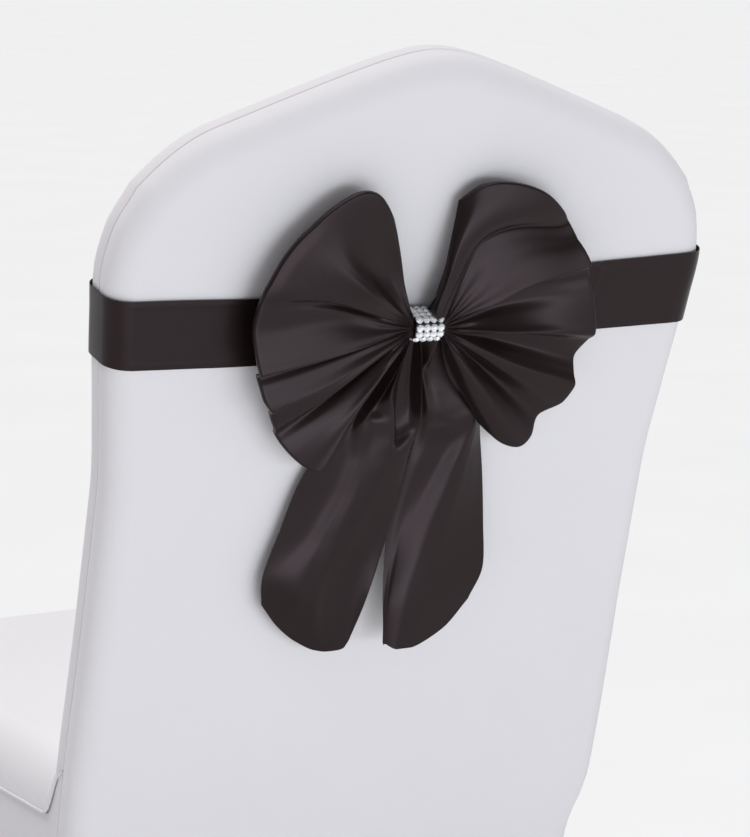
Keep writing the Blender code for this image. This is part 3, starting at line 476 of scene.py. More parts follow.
def turn_in_edges(piece, radius, depth):
    """Rounds every open edge of a cloth and turns it in, as at a seam or a hem."""
    mesh = piece.data
    work = bmesh.new()
    work.from_mesh(mesh)
    work.normal_update()
    uv = work.loops.layers.uv.active
    rim = [edge for edge in work.edges if edge.is_boundary]
    outs = {}
    for edge in rim:
        face = edge.link_faces[0]
        along = (edge.verts[1].co - edge.verts[0].co).normalized()
        out = along.cross(face.normal)
        middle = 0.5 * (edge.verts[0].co + edge.verts[1].co)
        if out.dot(face.calc_center_median() - middle) > 0.0:
            out.negate()
        for vert in edge.verts:
            outs[vert] = outs.get(vert, Vector()) + out
    rings = {}
    for vert, out in outs.items():
        out.normalize()
        normal, start = vert.normal.copy(), vert.co.copy()
        vert.co = start - out * radius
        rings[vert] = [work.verts.new(place) for place in (
            start - out * radius * 0.3 - normal * radius * 0.3,
            start - normal * radius,
            start - normal * (radius + depth),
        )]
    for edge in rim:
        face = edge.link_faces[0]
        loop = next(loop for loop in edge.link_loops if loop.face == face)
        first, second = loop.vert, loop.link_loop_next.vert
        first_uv, second_uv = loop[uv].uv.copy(), loop.link_loop_next[uv].uv.copy()
        near_first, near_second = first, second
        for far_first, far_second in zip(rings[first], rings[second]):
            new = work.faces.new((near_second, near_first, far_first, far_second))
            new.smooth = True
            for corner, place in zip(new.loops, (second_uv, first_uv, first_uv, second_uv)):
                corner[uv].uv = place
            near_first, near_second = far_first, far_second
    work.to_mesh(mesh)
    work.free()


def choose(piece):
    """Makes one object the only selected and active one."""
    bpy.ops.object.select_all(action="DESELECT")
    piece.select_set(True)
    bpy.context.view_layer.objects.active = piece


def weld(piece):
    """Joins the doubled points where a closed cloth's ends meet."""
    choose(piece)
    bpy.ops.object.mode_set(mode="EDIT")
    bpy.ops.mesh.select_all(action="SELECT")
    bpy.ops.mesh.remove_doubles(threshold=WELD_REACH * MM)
    bpy.ops.object.mode_set(mode="OBJECT")


def thicken(piece, thickness):
    """Gives a cloth its thickness on its inner side and shades it smooth."""
    choose(piece)
    wall = piece.modifiers.new("cloth thickness", "SOLIDIFY")
    wall.thickness = thickness
    wall.offset = -1.0
    wall.use_rim = True
    bpy.ops.object.modifier_apply(modifier=wall.name)
    bpy.ops.object.shade_smooth_by_angle(angle=SMOOTH_ANGLE)


def finish_piece(piece, slot, *nodes):
    """Hands a finished piece to the frame."""
    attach(piece, BODY)
    if nodes:
        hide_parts(*nodes)


def finish_cloth(piece, thickness, slot, cad_node):
    """Gives a cloth its thickness and hands it to the frame."""
    thicken(piece, thickness)
    finish_piece(piece, slot, cad_node)


def finish_panel(piece, cad_node):
    """Turns in a knitted panel's edges and finishes it."""
    settings = bpy.context.scene.cover_cloth
    turn_in_edges(piece, settings.seam_radius, settings.seam_depth)
    finish_cloth(piece, settings.knit_thickness, KNIT_SLOT, cad_node)


# ---------------------------------------------------------------------- materials


def linear(hex_colour):
    """Linear RGBA of an sRGB hex colour."""
    channels = [int(hex_colour[i:i + 2], 16) / 255.0 for i in (1, 3, 5)]
    low = [c / 12.92 if c <= 0.04045 else ((c + 0.055) / 1.055) ** 2.4 for c in channels]
    return (*low, 1.0)


def node(tree, kind, links=(), **settings):
    """Adds a node with its settings, and links named inputs to other nodes' outputs."""
    new = tree.nodes.new(kind)
    for key, value in settings.items():
        if key in new.inputs:
            new.inputs[key].default_value = value
        else:
            setattr(new, key, value)
    for socket, source in dict(links).items():
        tree.links.new(source, new.inputs[socket])
    return new


def new_material(name, **settings):
    """A named material with a node tree of just its set shader and the output."""
    made = bpy.data.materials.new(name)
    made.use_nodes = True
    tree = made.node_tree
    tree.nodes.clear()
    shader = node(tree, "ShaderNodeBsdfPrincipled", **settings)
    node(tree, "ShaderNodeOutputMaterial", {"Surface": shader.outputs["BSDF"]})
    return made, tree, shader


def feed(tree, shader, **sources):
    """Links a shader's colour, roughness and normal to what the textures give."""
    names = {"colour": "Base Color", "roughness": "Roughness", "normal": "Normal"}
    for key, source in sources.items():
        tree.links.new(source, shader.inputs[names[key]])


def texture(tree, kind, place, output, **settings):
    """What a texture gives at a place."""
    return node(tree, "ShaderNodeTex" + kind, {"Vector": place}, **settings).outputs[output]


def colour_between(tree, share, low, high):
    """A colour mixed from two by a texture's value."""
    mix = node(tree, "ShaderNodeMix", {"Factor": share}, data_type="RGBA", A=linear(low), B=linear(high))
    return mix.outputs["Result"]


def number_between(tree, share, low, high):
    """A number mixed from two by a texture's value."""
    spread = node(tree, "ShaderNodeMapRange", {"Value": share}, **{"To Min": low, "To Max": high})
    return spread.outputs["Result"]


def bumped(tree, height, strength, distance):
    """The normal of a surface roughened by a texture's value."""
    bump = node(tree, "ShaderNodeBump", {"Height": height}, Strength=strength, Distance=distance)
    return bump.outputs["Normal"]


WAVE_BAND = 0.314           # width of a band of the wave texture at scale 1
WALE_STEP = 0.0011          # in metres; real wales are 0.4 mm apart and wouldn't show
COURSE_STEP = 0.0009


def stretch_knit(colours):
    """Polyester and elastane knit, dyed white: matt, faintly lavender, finely ribbed."""
    made, tree, shader = new_material("white polyester and elastane knit", **{
        "Roughness": 0.85, "Sheen Weight": 0.12, "Sheen Roughness": 0.45, "Sheen Tint": linear("#f4f0fa")})
    place = node(tree, "ShaderNodeUVMap", uv_map="flat_cloth").outputs["UV"]
    wave = {"wave_type": "BANDS", "wave_profile": "SIN", "Detail": 2.0}
    wales = texture(tree, "Wave", place, "Fac", bands_direction="X", Distortion=0.6,
                    Scale=WAVE_BAND / WALE_STEP, **wave)
    courses = texture(tree, "Wave", place, "Fac", bands_direction="Y", Distortion=0.8,
                      Scale=WAVE_BAND / COURSE_STEP, **wave)
    loops = node(tree, "ShaderNodeMath", operation="MULTIPLY")
    tree.links.new(wales, loops.inputs[0])
    tree.links.new(courses, loops.inputs[1])
    mottle = texture(tree, "Noise", place, "Fac", Scale=9.0, Detail=3.0, Roughness=0.5)
    weave = node(tree, "ShaderNodeMix", data_type="RGBA", blend_type="MULTIPLY", Factor=1.0)
    tree.links.new(colour_between(tree, mottle, colours.knit_shade, colours.knit), weave.inputs["A"])
    tree.links.new(number_between(tree, loops.outputs["Value"], 0.97, 1.0), weave.inputs["B"])
    feed(tree, shader, colour=weave.outputs["Result"],
         normal=bumped(tree, loops.outputs["Value"], 0.25, 0.00012))
    return made


def coated_satin(colours):
    """Polyester satin with a soft coating: brown-black with a dull purple-grey sheen."""
    made, tree, shader = new_material("black coated polyester satin", **{
        "Specular IOR Level": 0.25, "Sheen Weight": 0.03, "Sheen Roughness": 0.4,
        "Sheen Tint": linear("#c9bcd2"), "Specular Tint": linear("#f4dde6")})
    place = node(tree, "ShaderNodeUVMap", uv_map="flat_cloth").outputs["UV"]
    grain = texture(tree, "Noise", place, "Fac", Scale=900.0, Detail=2.0, Roughness=0.6)
    mottle = texture(tree, "Noise", place, "Fac", Scale=40.0, Detail=3.0, Roughness=0.5)
    feed(tree, shader, colour=colour_between(tree, mottle, colours.satin, colours.satin_worn),
         roughness=number_between(tree, grain, 0.28, 0.38), normal=bumped(tree, grain, 0.2, 0.0001))
    return made


def silver_cups(colours):
    """Nickel-plated pressed brass: bright silver, a little dulled in fine random smears."""
    made, tree, shader = new_material("nickel plated brass cups", Metallic=0.6)
    place = node(tree, "ShaderNodeTexCoord").outputs["Object"]
    smear = texture(tree, "Noise", place, "Fac", Scale=700.0, Detail=2.0)
    feed(tree, shader, colour=colour_between(tree, smear, colours.silver, "#d2d2d8"),
         roughness=number_between(tree, smear, 0.3, 0.5))
    return made


def foiled_glass(colours):
    """Cut glass with a mirror foil behind it: grey facets with white sparks painted into their colour as a
    painted glint.
    """
    made, tree, shader = new_material("foil backed cut glass", **{
        "Metallic": 0.35, "Coat Weight": 1.0, "Coat Roughness": 0.02})
    place = node(tree, "ShaderNodeTexCoord").outputs["Object"]
    # painted glint: the colour runs from grey to white across small cells and stands in for sparks of
    # light
    painted_sparks = texture(tree, "Voronoi", place, "Distance", Scale=620.0)
    feed(tree, shader, colour=colour_between(tree, painted_sparks, "#c8c9d0", colours.glass),
         roughness=number_between(tree, painted_sparks, 0.04, 0.16))
    return made


def studio_paper(colours):
    """Matt white paper roll: an even pale ground with hardly any tooth."""
    made, tree, shader = new_material("white studio paper", **{
        "Roughness": 0.95, "Specular IOR Level": 0.1})
    place = node(tree, "ShaderNodeTexCoord").outputs["Object"]
    tooth = texture(tree, "Noise", place, "Fac", Scale=3.0, Detail=4.0)
    feed(tree, shader, colour=colour_between(tree, tooth, colours.paper, "#e5e5e5"))
    return made


MADE = {}


def material(make):
    """The material that this function makes, made the first time it is asked for."""
    if make not in MADE:
        MADE[make] = make(bpy.context.scene.cover_colours)
    return MADE[make]


# ------------------------------------------------------------ the back's two panels

SIDE_STEP = 9.0             # the panels' mesh size up the sides
CROWN_STEP = 5.0            # and over the slopes of the crown
EDGE_PROBE = 2.0            # reach to both sides when the edge's slope is felt for
PANEL_COLUMNS = 44
TURN_STEPS = 12
CROWN_ROWS = 16             # rows of cloth between the shoulders and the crown
PANEL_TOP = BACK_SIDES[-1].height - 6.0


def edge_stations(heights):
    """Places up the left edge and over half the crown, each with its way out."""
    span = SHOULDER_END - CROWN_TOP_HALF
    sloping = [blend(-SHOULDER_END, -CROWN_TOP_HALF, t) for t in steps(round(span / CROWN_STEP))]
    middle = [blend(-CROWN_TOP_HALF, 0.0, t) for t in steps(PANEL_COLUMNS // 2)[1:]]
    wide = 2.0 * EDGE_PROBE
    stations = []
    for height in heights:
        lean = half_width(height + EDGE_PROBE) - half_width(height - EDGE_PROBE)
        length = math.hypot(wide, lean)
        stations.append(((-half_width(height), height), (-wide / length, -lean / length)))
    for x in sloping + middle:
        rise = crown(x + EDGE_PROBE) - crown(x - EDGE_PROBE)
        length = math.hypot(wide, rise)
        stations.append(((x, crown(x)), (-rise / length, wide / length)))
    return stations, len(heights) + len(sloping)


def panel_cloth(heights, side, bulge, place, turn_run=BACK_TURN):
    """One face of the back: rings over its edge, rows across its inside."""
    left, side_rows = edge_stations(heights)
    loop = left + [((-x, h), (-out_x, out_h)) for (x, h), (out_x, out_h) in left[-2::-1]]
    cloth = Cloth()
    profile = [(0.0, 0.5 * SEAM_GAP, 0.0, 0.5 * math.pi * BACK_TURN + FLAT_DEPTH)]
    for t in steps(TURN_STEPS):
        turn = 0.5 * math.pi * t
        outward = math.sin(turn)
        arc = BACK_TURN * (0.5 * math.pi - turn)
        profile.append((turn_run * (1.0 - math.cos(turn)), FLAT_DEPTH + BACK_TURN * outward, outward, arc))
    rings = []
    for distance, depth, outward, arc in profile:
        ring = []
        for (x, height), (out_x, out_h) in loop:
            inside_x, inside_h = x - distance * out_x, height - distance * out_h
            pad = pad_depth(inside_x, inside_h, bulge) * outward
            flat = (x + (arc - BACK_TURN) * out_x, height + (arc - BACK_TURN) * out_h)
            ring.append(cloth.add(place(inside_x, inside_h, side, depth + pad), flat))
        rings.append(ring)
    cloth.rows(rings)
    rim = rings[-1]
    inner = [(x - turn_run * out_x, h - turn_run * out_h) for (x, h), (out_x, out_h) in loop]
    shares = edge_graded(PANEL_COLUMNS)
    last = side_rows - 1
    grid = []
    for i, t in [(i, 0.0) for i in range(last)] + [(last - 1, t) for t in steps(CROWN_ROWS)[1:-1]]:
        edge = i if t < 0.5 else last
        row = [rim[edge]]
        start, end = inner[i], inner[-1 - i]
        for j in range(1, PANEL_COLUMNS):
            top_x, top_height = inner[last + j]
            x = blend(blend(start[0], end[0], shares[j]), top_x, t)
            height = blend(start[1], top_height, t)
            depth = 0.5 * BACK_THICKNESS + pad_depth(x, height, bulge)
            row.append(cloth.add(place(x, height, side, depth), (x, height)))
        grid.append(row + [rim[-1 - edge]])
    grid.append(rim[last:len(loop) - last])
    cloth.rows(grid[::-1])
    return cloth


def arch(distance, half_span, rise):
    """Height of an arched hem over its foot, zero inside the foot pocket."""
    reach = clamp((distance - POCKET_SIDE) / (half_span - POCKET_SIDE), 0.0, 1.0)
    return rise * math.sin(0.5 * math.pi * reach)


def outside_place(x, height, side, depth):
    """Cloth of the outside back, drawn up below the seat to an arched hem."""
    hem = height_at_level(BACK_HEM)
    foot_half = BACK_SIDES[0].half_width
    lifted = arch(foot_half - abs(x), foot_half, ARCH_BACK)
    height += lifted * clamp(height / hem, 0.0, 1.0)
    return back_point(x, height, side * depth)


def inside_place(x, height, side, depth):
    """Cloth of the inside back, its foot cut to lie just above the seat."""
    if height < 1.0:
        height = foot_height(x, depth)
    return back_point(x, height, side * depth)


def foot_height(x, depth):
    """Height up the back at which a point of this depth just clears the seat."""
    level = SEAT_TOP
    for _ in range(3):
        rise = level + SEAT_GAP - SEAT_TOP
        height = (rise - depth * math.sin(BACK_LEAN)) / math.cos(BACK_LEAN)
        level = seat_face(x, back_point(x, height, depth)[1])[2]
    return height


# ------------------------------------------------------------------- the seat

SEAT_REAR_Y = SPINE_Y + BOXING_REAR * math.tan(BACK_LEAN) + 0.5 * SEAM_GAP
SEAT_FRONT_Y = SPINE_Y + SEAT_DEPTH
SEAT_FOOT_Y = SPINE_Y + 0.5 * BACK_THICKNESS + 5.0
SEAT_BACK_HALF = half_width(0.0)
SEAT_RISE = 6.0             # the seat has its full crown at a sixth of its depth
SEAT_ROUND = 215.0          # half width at which the seat's crown would end
SEAT_TUCK = 1.6             # how far the seat's rear edge runs under the inside back
SEAT_ROWS = 76
SEAT_COLUMNS = 80
SEAT_PULL = 0.9


def corner_radius(level):
    """Radius of the front corners, which narrow down to the feet."""
    return blend(CORNER_FOOT, CORNER_TOP, ease(level / SEAT_TOP))


def seat_side(y):
    """Half the seat's width, before its front corners."""
    along = (y - SEAT_REAR_Y) / (SEAT_FRONT_Y - CORNER_TOP - SEAT_REAR_Y)
    return blend(SEAT_BACK_HALF, SEAT_FRONT_HALF, clamp(along, 0.0, 1.0))


def seat_inset(x, y):
    """How far a place lies inside the seat's outline."""
    corner_y = SEAT_FRONT_Y - CORNER_TOP
    corner_x = SEAT_FRONT_HALF - CORNER_TOP
    if y > corner_y and abs(x) > corner_x:
        return max(0.0, CORNER_TOP - math.hypot(abs(x) - corner_x, y - corner_y))
    return max(0.0, min(seat_side(y) - abs(x), SEAT_FRONT_Y - y))


def seam_level(y):
    """Level of the seam under the seat's boxing, curving up to the back."""
    run = ease((y - SEAT_REAR_Y) / BOXING_RUN)
    return SEAT_TOP - blend(BOXING_REAR, BOXING, run)


def seat_face(x, y):
    """The point of the seat's top over a place."""
    upward = turned(seat_inset(x, y), SEAT_TURN)
    along = (y - SEAT_FOOT_Y) / (SEAT_FRONT_Y - SEAT_FOOT_Y)
    crown_share = ease(along * SEAT_RISE) * (1.0 - (x / SEAT_ROUND) ** 2)
    top = SEAT_TOP + SEAT_CROWN * crown_share
    return (x, y, blend(seam_level(y), top, upward))


def seat_rear(x):
    """Where the seat panel's rear edge runs, under the inside back."""
    if abs(x) > SEAT_BACK_HALF - 0.5:
        return SEAT_REAR_Y
    outward = turned(SEAT_BACK_HALF - abs(x), BACK_TURN)
    depth = FLAT_DEPTH + (BACK_TURN + pad_depth(x, 0.0, INSIDE_BULGE)) * outward
    return max(SEAT_REAR_Y, SPINE_Y + depth - SEAT_TUCK)


def corner_reach(beyond):
    """Reach of a round front corner past its centre, at a distance to its side."""
    return math.sqrt(CORNER_TOP ** 2 - beyond ** 2)


def seat_front(x):
    """Where the seat's front edge runs."""
    beyond = abs(x) - (SEAT_FRONT_HALF - CORNER_TOP)
    if beyond <= 0.0:
        return SEAT_FRONT_Y
    return SEAT_FRONT_Y - CORNER_TOP + corner_reach(beyond)


def seat_cloth():
    """The seat's top and boxing: rows from the rear to the front, corner to corner."""
    corner = CORNER_TOP * math.sqrt(0.5)
    corner_x = SEAT_FRONT_HALF - CORNER_TOP + corner
    corner_y = SEAT_FRONT_Y - CORNER_TOP + corner
    rows = []
    for along in edge_graded(SEAT_ROWS, SEAT_PULL):
        side_y = blend(SEAT_REAR_Y, corner_y, along)
        width = seat_side(side_y)
        if side_y > SEAT_FRONT_Y - CORNER_TOP:
            width = SEAT_FRONT_HALF - CORNER_TOP + corner_reach(side_y - (SEAT_FRONT_Y - CORNER_TOP))
        row = []
        for share in edge_graded(SEAT_COLUMNS, SEAT_PULL):
            across = 2.0 * share - 1.0
            y = blend(seat_rear(across * SEAT_BACK_HALF), seat_front(across * corner_x), along)
            point = seat_face(across * width, y)
            row.append((point, point[:2]))
        rows.append(row)
    return woven(rows)


# ------------------------------------------------------------------ the skirts

SKIRT_FOOT = POCKET_HEIGHT + SEAM_GAP
BOXING_COLUMNS = 8
SIDE_COLUMNS = 44
SIDE_ROWS = 48
FRONT_COLUMNS = 48
FRONT_ROWS = 40
CORNER_STEPS = 10


def post_point(level):
    """The back post's side at a level, where the side skirt is sewn on."""
    height = height_at_level(level)
    x, y, _ = back_point(half_width(height), height, 0.5 * SEAM_GAP)
    return x, y


def side_skirt_cloth(side):
    """A side skirt: columns from the back post to the front corner, each from its hem up."""
    span = 0.5 * SEAT_DEPTH
    places = [SEAT_REAR_Y + BOXING_RUN * t for t in steps(BOXING_COLUMNS)]
    places += [blend(places[-1], SEAT_FRONT_Y - CORNER_TOP - SEAM_GAP, t) for t in steps(SIDE_COLUMNS)[1:]]
    columns = []
    for place in places:
        top = seam_level(place) - SEAM_GAP
        rear_y = post_point(top)[1]
        front_y = SEAT_FRONT_Y - corner_radius(top) - SEAM_GAP
        along = clamp((place - rear_y) / (front_y - rear_y), 0.0, 1.0)
        distance = span - abs(along - 0.5) * 2.0 * span
        hem = SKIRT_FOOT + arch(distance, span, ARCH_SIDE)
        column = []
        for up in steps(SIDE_ROWS):
            level = blend(hem, top, up)
            rear_x, rear_y = post_point(level)
            front_y = SEAT_FRONT_Y - corner_radius(level) - SEAM_GAP
            y = blend(rear_y, front_y, along)
            column.append(((side * blend(rear_x, SEAT_FRONT_HALF, along), y, level), (y, level)))
        columns.append(column)
    return woven(columns)


def front_skirt_place(part, place, level):
    """Place across, place forward and run of the front skirt's cloth, at a level."""
    radius = corner_radius(level)
    inner = SEAT_FRONT_HALF - radius
    if part == "front":
        x = blend(inner, -inner, place)
        return x, SEAT_FRONT_Y, x
    side = 1.0 if part == "right" else -1.0
    turn = math.radians(place)
    x = side * (inner + radius * math.cos(turn))
    y = SEAT_FRONT_Y - radius + radius * math.sin(turn)
    return x, y, side * (inner + radius * (0.5 * math.pi - turn))


def front_skirt_cloth():
    """The front skirt: columns round the right corner, over the front, round the left."""
    turns = [90.0 * t for t in steps(CORNER_STEPS)]
    stations = [("right", turn) for turn in turns]
    stations += [("front", t) for t in steps(FRONT_COLUMNS)[1:-1]]
    stations += [("left", turn) for turn in reversed(turns)]
    columns = []
    for part, place in stations:
        column = []
        for up in steps(FRONT_ROWS):
            level = blend(SKIRT_FOOT, SEAT_TOP - BOXING, up)
            for _ in range(2):
                x, y, run = front_skirt_place(part, place, level)
                hem = SKIRT_FOOT + arch(SEAT_FRONT_HALF - abs(x), SEAT_FRONT_HALF, ARCH_FRONT)
                level = blend(hem, SEAT_TOP - BOXING - SEAM_GAP, up)
            column.append(((x, y, level), (run, level)))
        columns.append(column)
    return woven(columns)


# ------------------------------------------------------------- the foot pockets


def rounded_square(half, radius, per_corner=8):
    """Points and outward directions round a square with round corners."""
    places = []
    for quarter in range(4):
        middle = math.pi * (0.5 * quarter + 0.25)
        centre_x = math.copysign(half - radius, math.cos(middle))
        centre_y = math.copysign(half - radius, math.sin(middle))
        for t in steps(per_corner):
            turn = 0.5 * math.pi * (quarter + t)
            out = (math.cos(turn), math.sin(turn))
            places.append(((centre_x + radius * out[0], centre_y + radius * out[1]), out))
    places.append(places[0])
    return places


# A pocket's rings from its sole up: level, how far the cloth lies in, and share of its size.
PocketRing = namedtuple("PocketRing", "level inset size")
POCKET_PROFILE = [PocketRing(*row) for row in (
    (0, 0, 0), (0, 0, 0.5), (0, 2, 1), (0.8, 0.7, 1), (3, 0, 1), (16, -0.3, 1), (34, -0.4, 1),
    (48, -0.2, 1), (51, 0.3, 1), (53, -0.3, 1), (60, 0, 1),
)]


def pocket_cloth(centre, radius):
    """A foot pocket: closed rings from the middle of its sole to its top."""
    half = 0.5 * POCKET_SIDE
    shape = rounded_square(half, radius)
    rows = []
    for ring in POCKET_PROFILE:
        middle_x, middle_y = centre(ring.level)
        row = []
        length = 0.0
        before = shape[0][0]
        for place, out in shape:
            length += math.dist(place, before)
            before = place
            x = middle_x + ring.size * (place[0] - ring.inset * out[0])
            y = middle_y + ring.size * (place[1] - ring.inset * out[1])
            row.append(((x, y, ring.level), (length, ring.level + half * ring.size)))
        rows.append(row)
    return woven(rows)


def rear_pocket_centre(side):
    """Finds the middle of a rear foot at a level; the leg splays."""
    def centre(level):
        height = height_at_level(level)
        x, y, _ = back_point(half_width(height) - 0.5 * POCKET_SIDE, height, 0.0)
        return side * x, y
    return centre


def front_pocket_centre(side):
    """Finds the middle of a front foot; the leg is upright."""
    half = 0.5 * POCKET_SIDE
    return lambda level: (side * (SEAT_FRONT_HALF - half), SEAT_FRONT_Y - half)


# ------------------------------------------------------------------- the sash

SASH_COLUMNS = {-1.0: 180, 1.0: 60}     # over the outside back and over the inside back
SASH_TURN_STEPS = 20
SASH_ROWS = 30
SASH_HALF = 23.0
SELVEDGE = (0.25, 3.0, 1.4)     # rise of the selvedge, its place in from the edge, its width
CREASE = (0.7, 4.0, 1.6)        # rise of the crease, its slant, its width
GATHER = (0.9, 10.0, 90.0)      # rise of the gathers, where they start beside the knot, their run
GATHER_WAVES = (9.0, 0.6)


def hump(distance, width):
    """A smooth hump of height 1."""
    return math.exp(-(distance / width) ** 2)


def sash_place(x):
    """Middle line and half height of the sash at a place across the outside back."""
    places, middles, halves = zip(*SASH_PLACES)
    return smooth_curve(places, middles, x), smooth_curve(places, halves, x)


def sash_line(x, share, outside):
    """Height up the back of a line of the sash; its share runs from -1 to 1."""
    if outside:
        middle, half = sash_place(x)
    else:
        first, last = SASH_PLACES[0], SASH_PLACES[-1]
        across = clamp((x - first.x) / (last.x - first.x), 0.0, 1.0)
        middle = blend(first.middle, last.middle, across)
        half = blend(first.half_height, last.half_height, across)
    return SASH_LEVEL + middle + half * share


def sash_relief(x, share):
    """Rounded selvedges, the crease beside the bow, and gathers towards the knot."""
    _, half = sash_place(x)
    relief = SELVEDGE[0] * hump(half * (1.0 - abs(share)) - SELVEDGE[1], SELVEDGE[2])
    crease = CREASE[0] * hump(x - SASH_CREASE - CREASE[1] * share, CREASE[2])
    near = ease(1.0 - (abs(x - KNOT_X) - GATHER[1]) / GATHER[2])
    return relief + crease + GATHER[0] * near * math.sin(GATHER_WAVES[0] * share + GATHER_WAVES[1]) ** 2


def sash_cloth(lift):
    """The band round the back's section, column by column, each from its foot to its top."""
    shares = [2.0 * share - 1.0 for share in edge_graded(SASH_ROWS)]
    stations = []
    for side, count in SASH_COLUMNS.items():
        stations += [(side, "flat", -side * (2.0 * t - 1.0)) for t in steps(count)[:-1]]
        stations += [(side, "turn", 180.0 * t) for t in steps(SASH_TURN_STEPS)[:-1]]
    columns = []
    run = 0.0
    before = None
    for side, part, place in stations + stations[:1]:
        outside = side < 0.0
        bulge = BACK_BULGE if outside else INSIDE_BULGE
        points = []
        for share in shares:
            if part == "flat":
                height = sash_line(place * SHOULDER_END, share, outside)
                x = place * (half_width(height) - BACK_TURN)
                outward = turned(half_width(height) - abs(x), BACK_TURN)
                relief = sash_relief(x, share) * outward if outside else 0.0
                depth = FLAT_DEPTH + (BACK_TURN + pad_depth(x, height, bulge)) * outward
                depth = side * (depth + lift + relief)
            else:
                start = sash_line(-side * SHOULDER_END, share, outside)
                end = sash_line(-side * SHOULDER_END, share, not outside)
                height = blend(start, end, place / 180.0)
                turn = math.radians(place)
                x = -side * (half_width(height) - BACK_TURN + (BACK_TURN + lift) * math.sin(turn))
                depth = math.copysign(FLAT_DEPTH, math.cos(turn)) + (BACK_TURN + lift) * math.cos(turn)
                depth *= side
            points.append(back_point(x, height, depth))
        middle = points[len(points) // 2]
        run += math.dist(middle, before) if before else 0.0
        before = middle
        columns.append([(point, (run, SASH_HALF * share)) for point, share in zip(points, shares)])
    return woven(columns)


# -------------------------------------------------------------------- the bow


def bow_point(x, rise, lift):
    """A point by its place from the knot and its lift off the sash's face."""
    return back_point(KNOT_X + x, SASH_LEVEL + rise, -(SASH_FACE + lift))


BOW_ROWS = 220
FRONT_STEPS = 48
RIM_STEPS = 12
REAR_STEPS = 14
RIM_SHARE = 0.985
TUCK = 0.6                  # how far the wings run in under the band
BEND_START = 0.45           # share of a fold line from which it bends to its rim angle
VIEW_SIDE, VIEW_DROP = 0.6, 0.45    # lift moves a point so much aside and down as the bow is seen
TOP_SHARE = 0.2             # share of the right wing that is its top fold
OVER_PEAK, OVER_LIFT_PEAK, OVER_LIFT = 0.11, 0.09, 4.0
BAND_LEAVE = 12.0           # how fast the pleats rise out of the band
NEAR_RUN = 2.4              # how fast the folds do
FAR_RUN, FAR_START = 1.6, 0.6
EDGE_LEAVE = 6.0            # how fast a wing's edges turn back, out of the band
SWELL_SHARE = 0.65          # the front swells over most of its reach and stays out at its rim
LEAN_END, LEAN_RUN = 0.5, 0.35
SHOULDER_TOP, SHOULDER_TOP_RUN = 0.1, 0.08
SHOULDER_FOOT, SHOULDER_FOOT_RUN = 0.36, 0.1
RIM_START, RIM_RUN = 0.93, 0.06
REAR_RIM, REAR_RIM_RUN = 0.6, 0.38
REAR_EDGE, REAR_EDGE_RUN = 0.12, 0.09
REAR_FOLDS = 0.12           # share of a fold's relief that shows on the rear
LAYER_GAP = 1.5             # between the turned edge and the rear layer


def ring_end(side):
    """How far the band's end lies from the knot, on one side."""
    return RING_HALF_WIDTH + side * RING_MIDDLE + TUCK


def top_lean(share, down, side):
    """How far a wing's upper half leans back to the cover."""
    most = LEFT_LEAN if side < 0.0 else RIGHT_LEAN
    return most * share ** 1.5 * ease((LEAN_END - down) / LEAN_RUN)


def swell(share, peak):
    """Rises from 0 to 1 at its peak and falls slowly away."""
    return (share / peak) * math.exp(1.0 - share / peak)


def fold_place(fold, share, side, down):
    """Place of a fold line at a share of its way from the knot to the rim."""
    waist_rise = blend(WAIST_TOP, WAIST_FOOT, down)
    angle = math.radians(blend(fold.middle, fold.rim, ease((share - BEND_START) / (1.0 - BEND_START))))
    back = top_lean(share, down, side)
    x = blend(ring_end(side), fold.reach * math.cos(angle), share) + VIEW_SIDE * side * back
    rise = blend(waist_rise, fold.reach * math.sin(angle), share) - VIEW_DROP * back
    if side > 0.0:
        x -= OVERHANG * ease(1.0 - down / TOP_SHARE) * swell(share, OVER_PEAK)
    return side * x, rise


def wing_face(fold, share, down, side):
    """Lift of a wing's front off the sash, before its outer edges turn back."""
    body = WAIST_LIFT + WING_SWELL * math.sin(SWELL_SHARE * math.pi * share)
    relief = ease(share * NEAR_RUN) * blend(fold.near, fold.far, ease(share * FAR_RUN - FAR_START))
    pleat = math.sin(2.0 * math.pi * PLEAT_COUNT * down)
    pleat = pleat * ease(share * BAND_LEAVE) * math.exp(-share / PLEAT_RUN)
    lift = body + relief + PLEAT_LIFT * pleat - top_lean(share, down, side)
    if side > 0.0:
        return lift + OVER_LIFT * ease(1.0 - down / TOP_SHARE) * swell(share, OVER_LIFT_PEAK)
    shoulder = ease((down - SHOULDER_TOP) / SHOULDER_TOP_RUN)
    shoulder = shoulder * ease((SHOULDER_FOOT - down) / SHOULDER_FOOT_RUN)
    return lift - RIM_SHOULDER * shoulder * clamp((share - RIM_START) / RIM_RUN, 0.0, 1.0)


def rear_lift(fold, share, down, side):
    """Lift of a wing's rear layer, which comes forward to the front along its edges."""
    plain = REAR_LIFT + REAR_SWELL * math.sin(math.pi * share) + REAR_FOLDS * fold.far * share
    to_edge = min(down, 1.0 - down)
    at_edge = ease((REAR_EDGE - to_edge) / REAR_EDGE_RUN) * ease(share * EDGE_LEAVE - 0.2)
    near_edge = max(ease((share - REAR_RIM) / REAR_RIM_RUN), at_edge)
    return blend(plain, max(plain, wing_face(fold, share, down, side) - EDGE_DEPTH), near_edge)


def front_lift(fold, share, down, side):
    """Lift of a wing's front, turned back along its top and its foot."""
    edge = max(0.0, 1.0 - min(down, 1.0 - down) / EDGE_TURN)
    turned_back = (1.0 - math.sqrt(1.0 - edge * edge)) * ease(share * EDGE_LEAVE)
    rear = rear_lift(fold, share, down, side) + LAYER_GAP
    return blend(wing_face(fold, share, down, side), rear, turned_back)


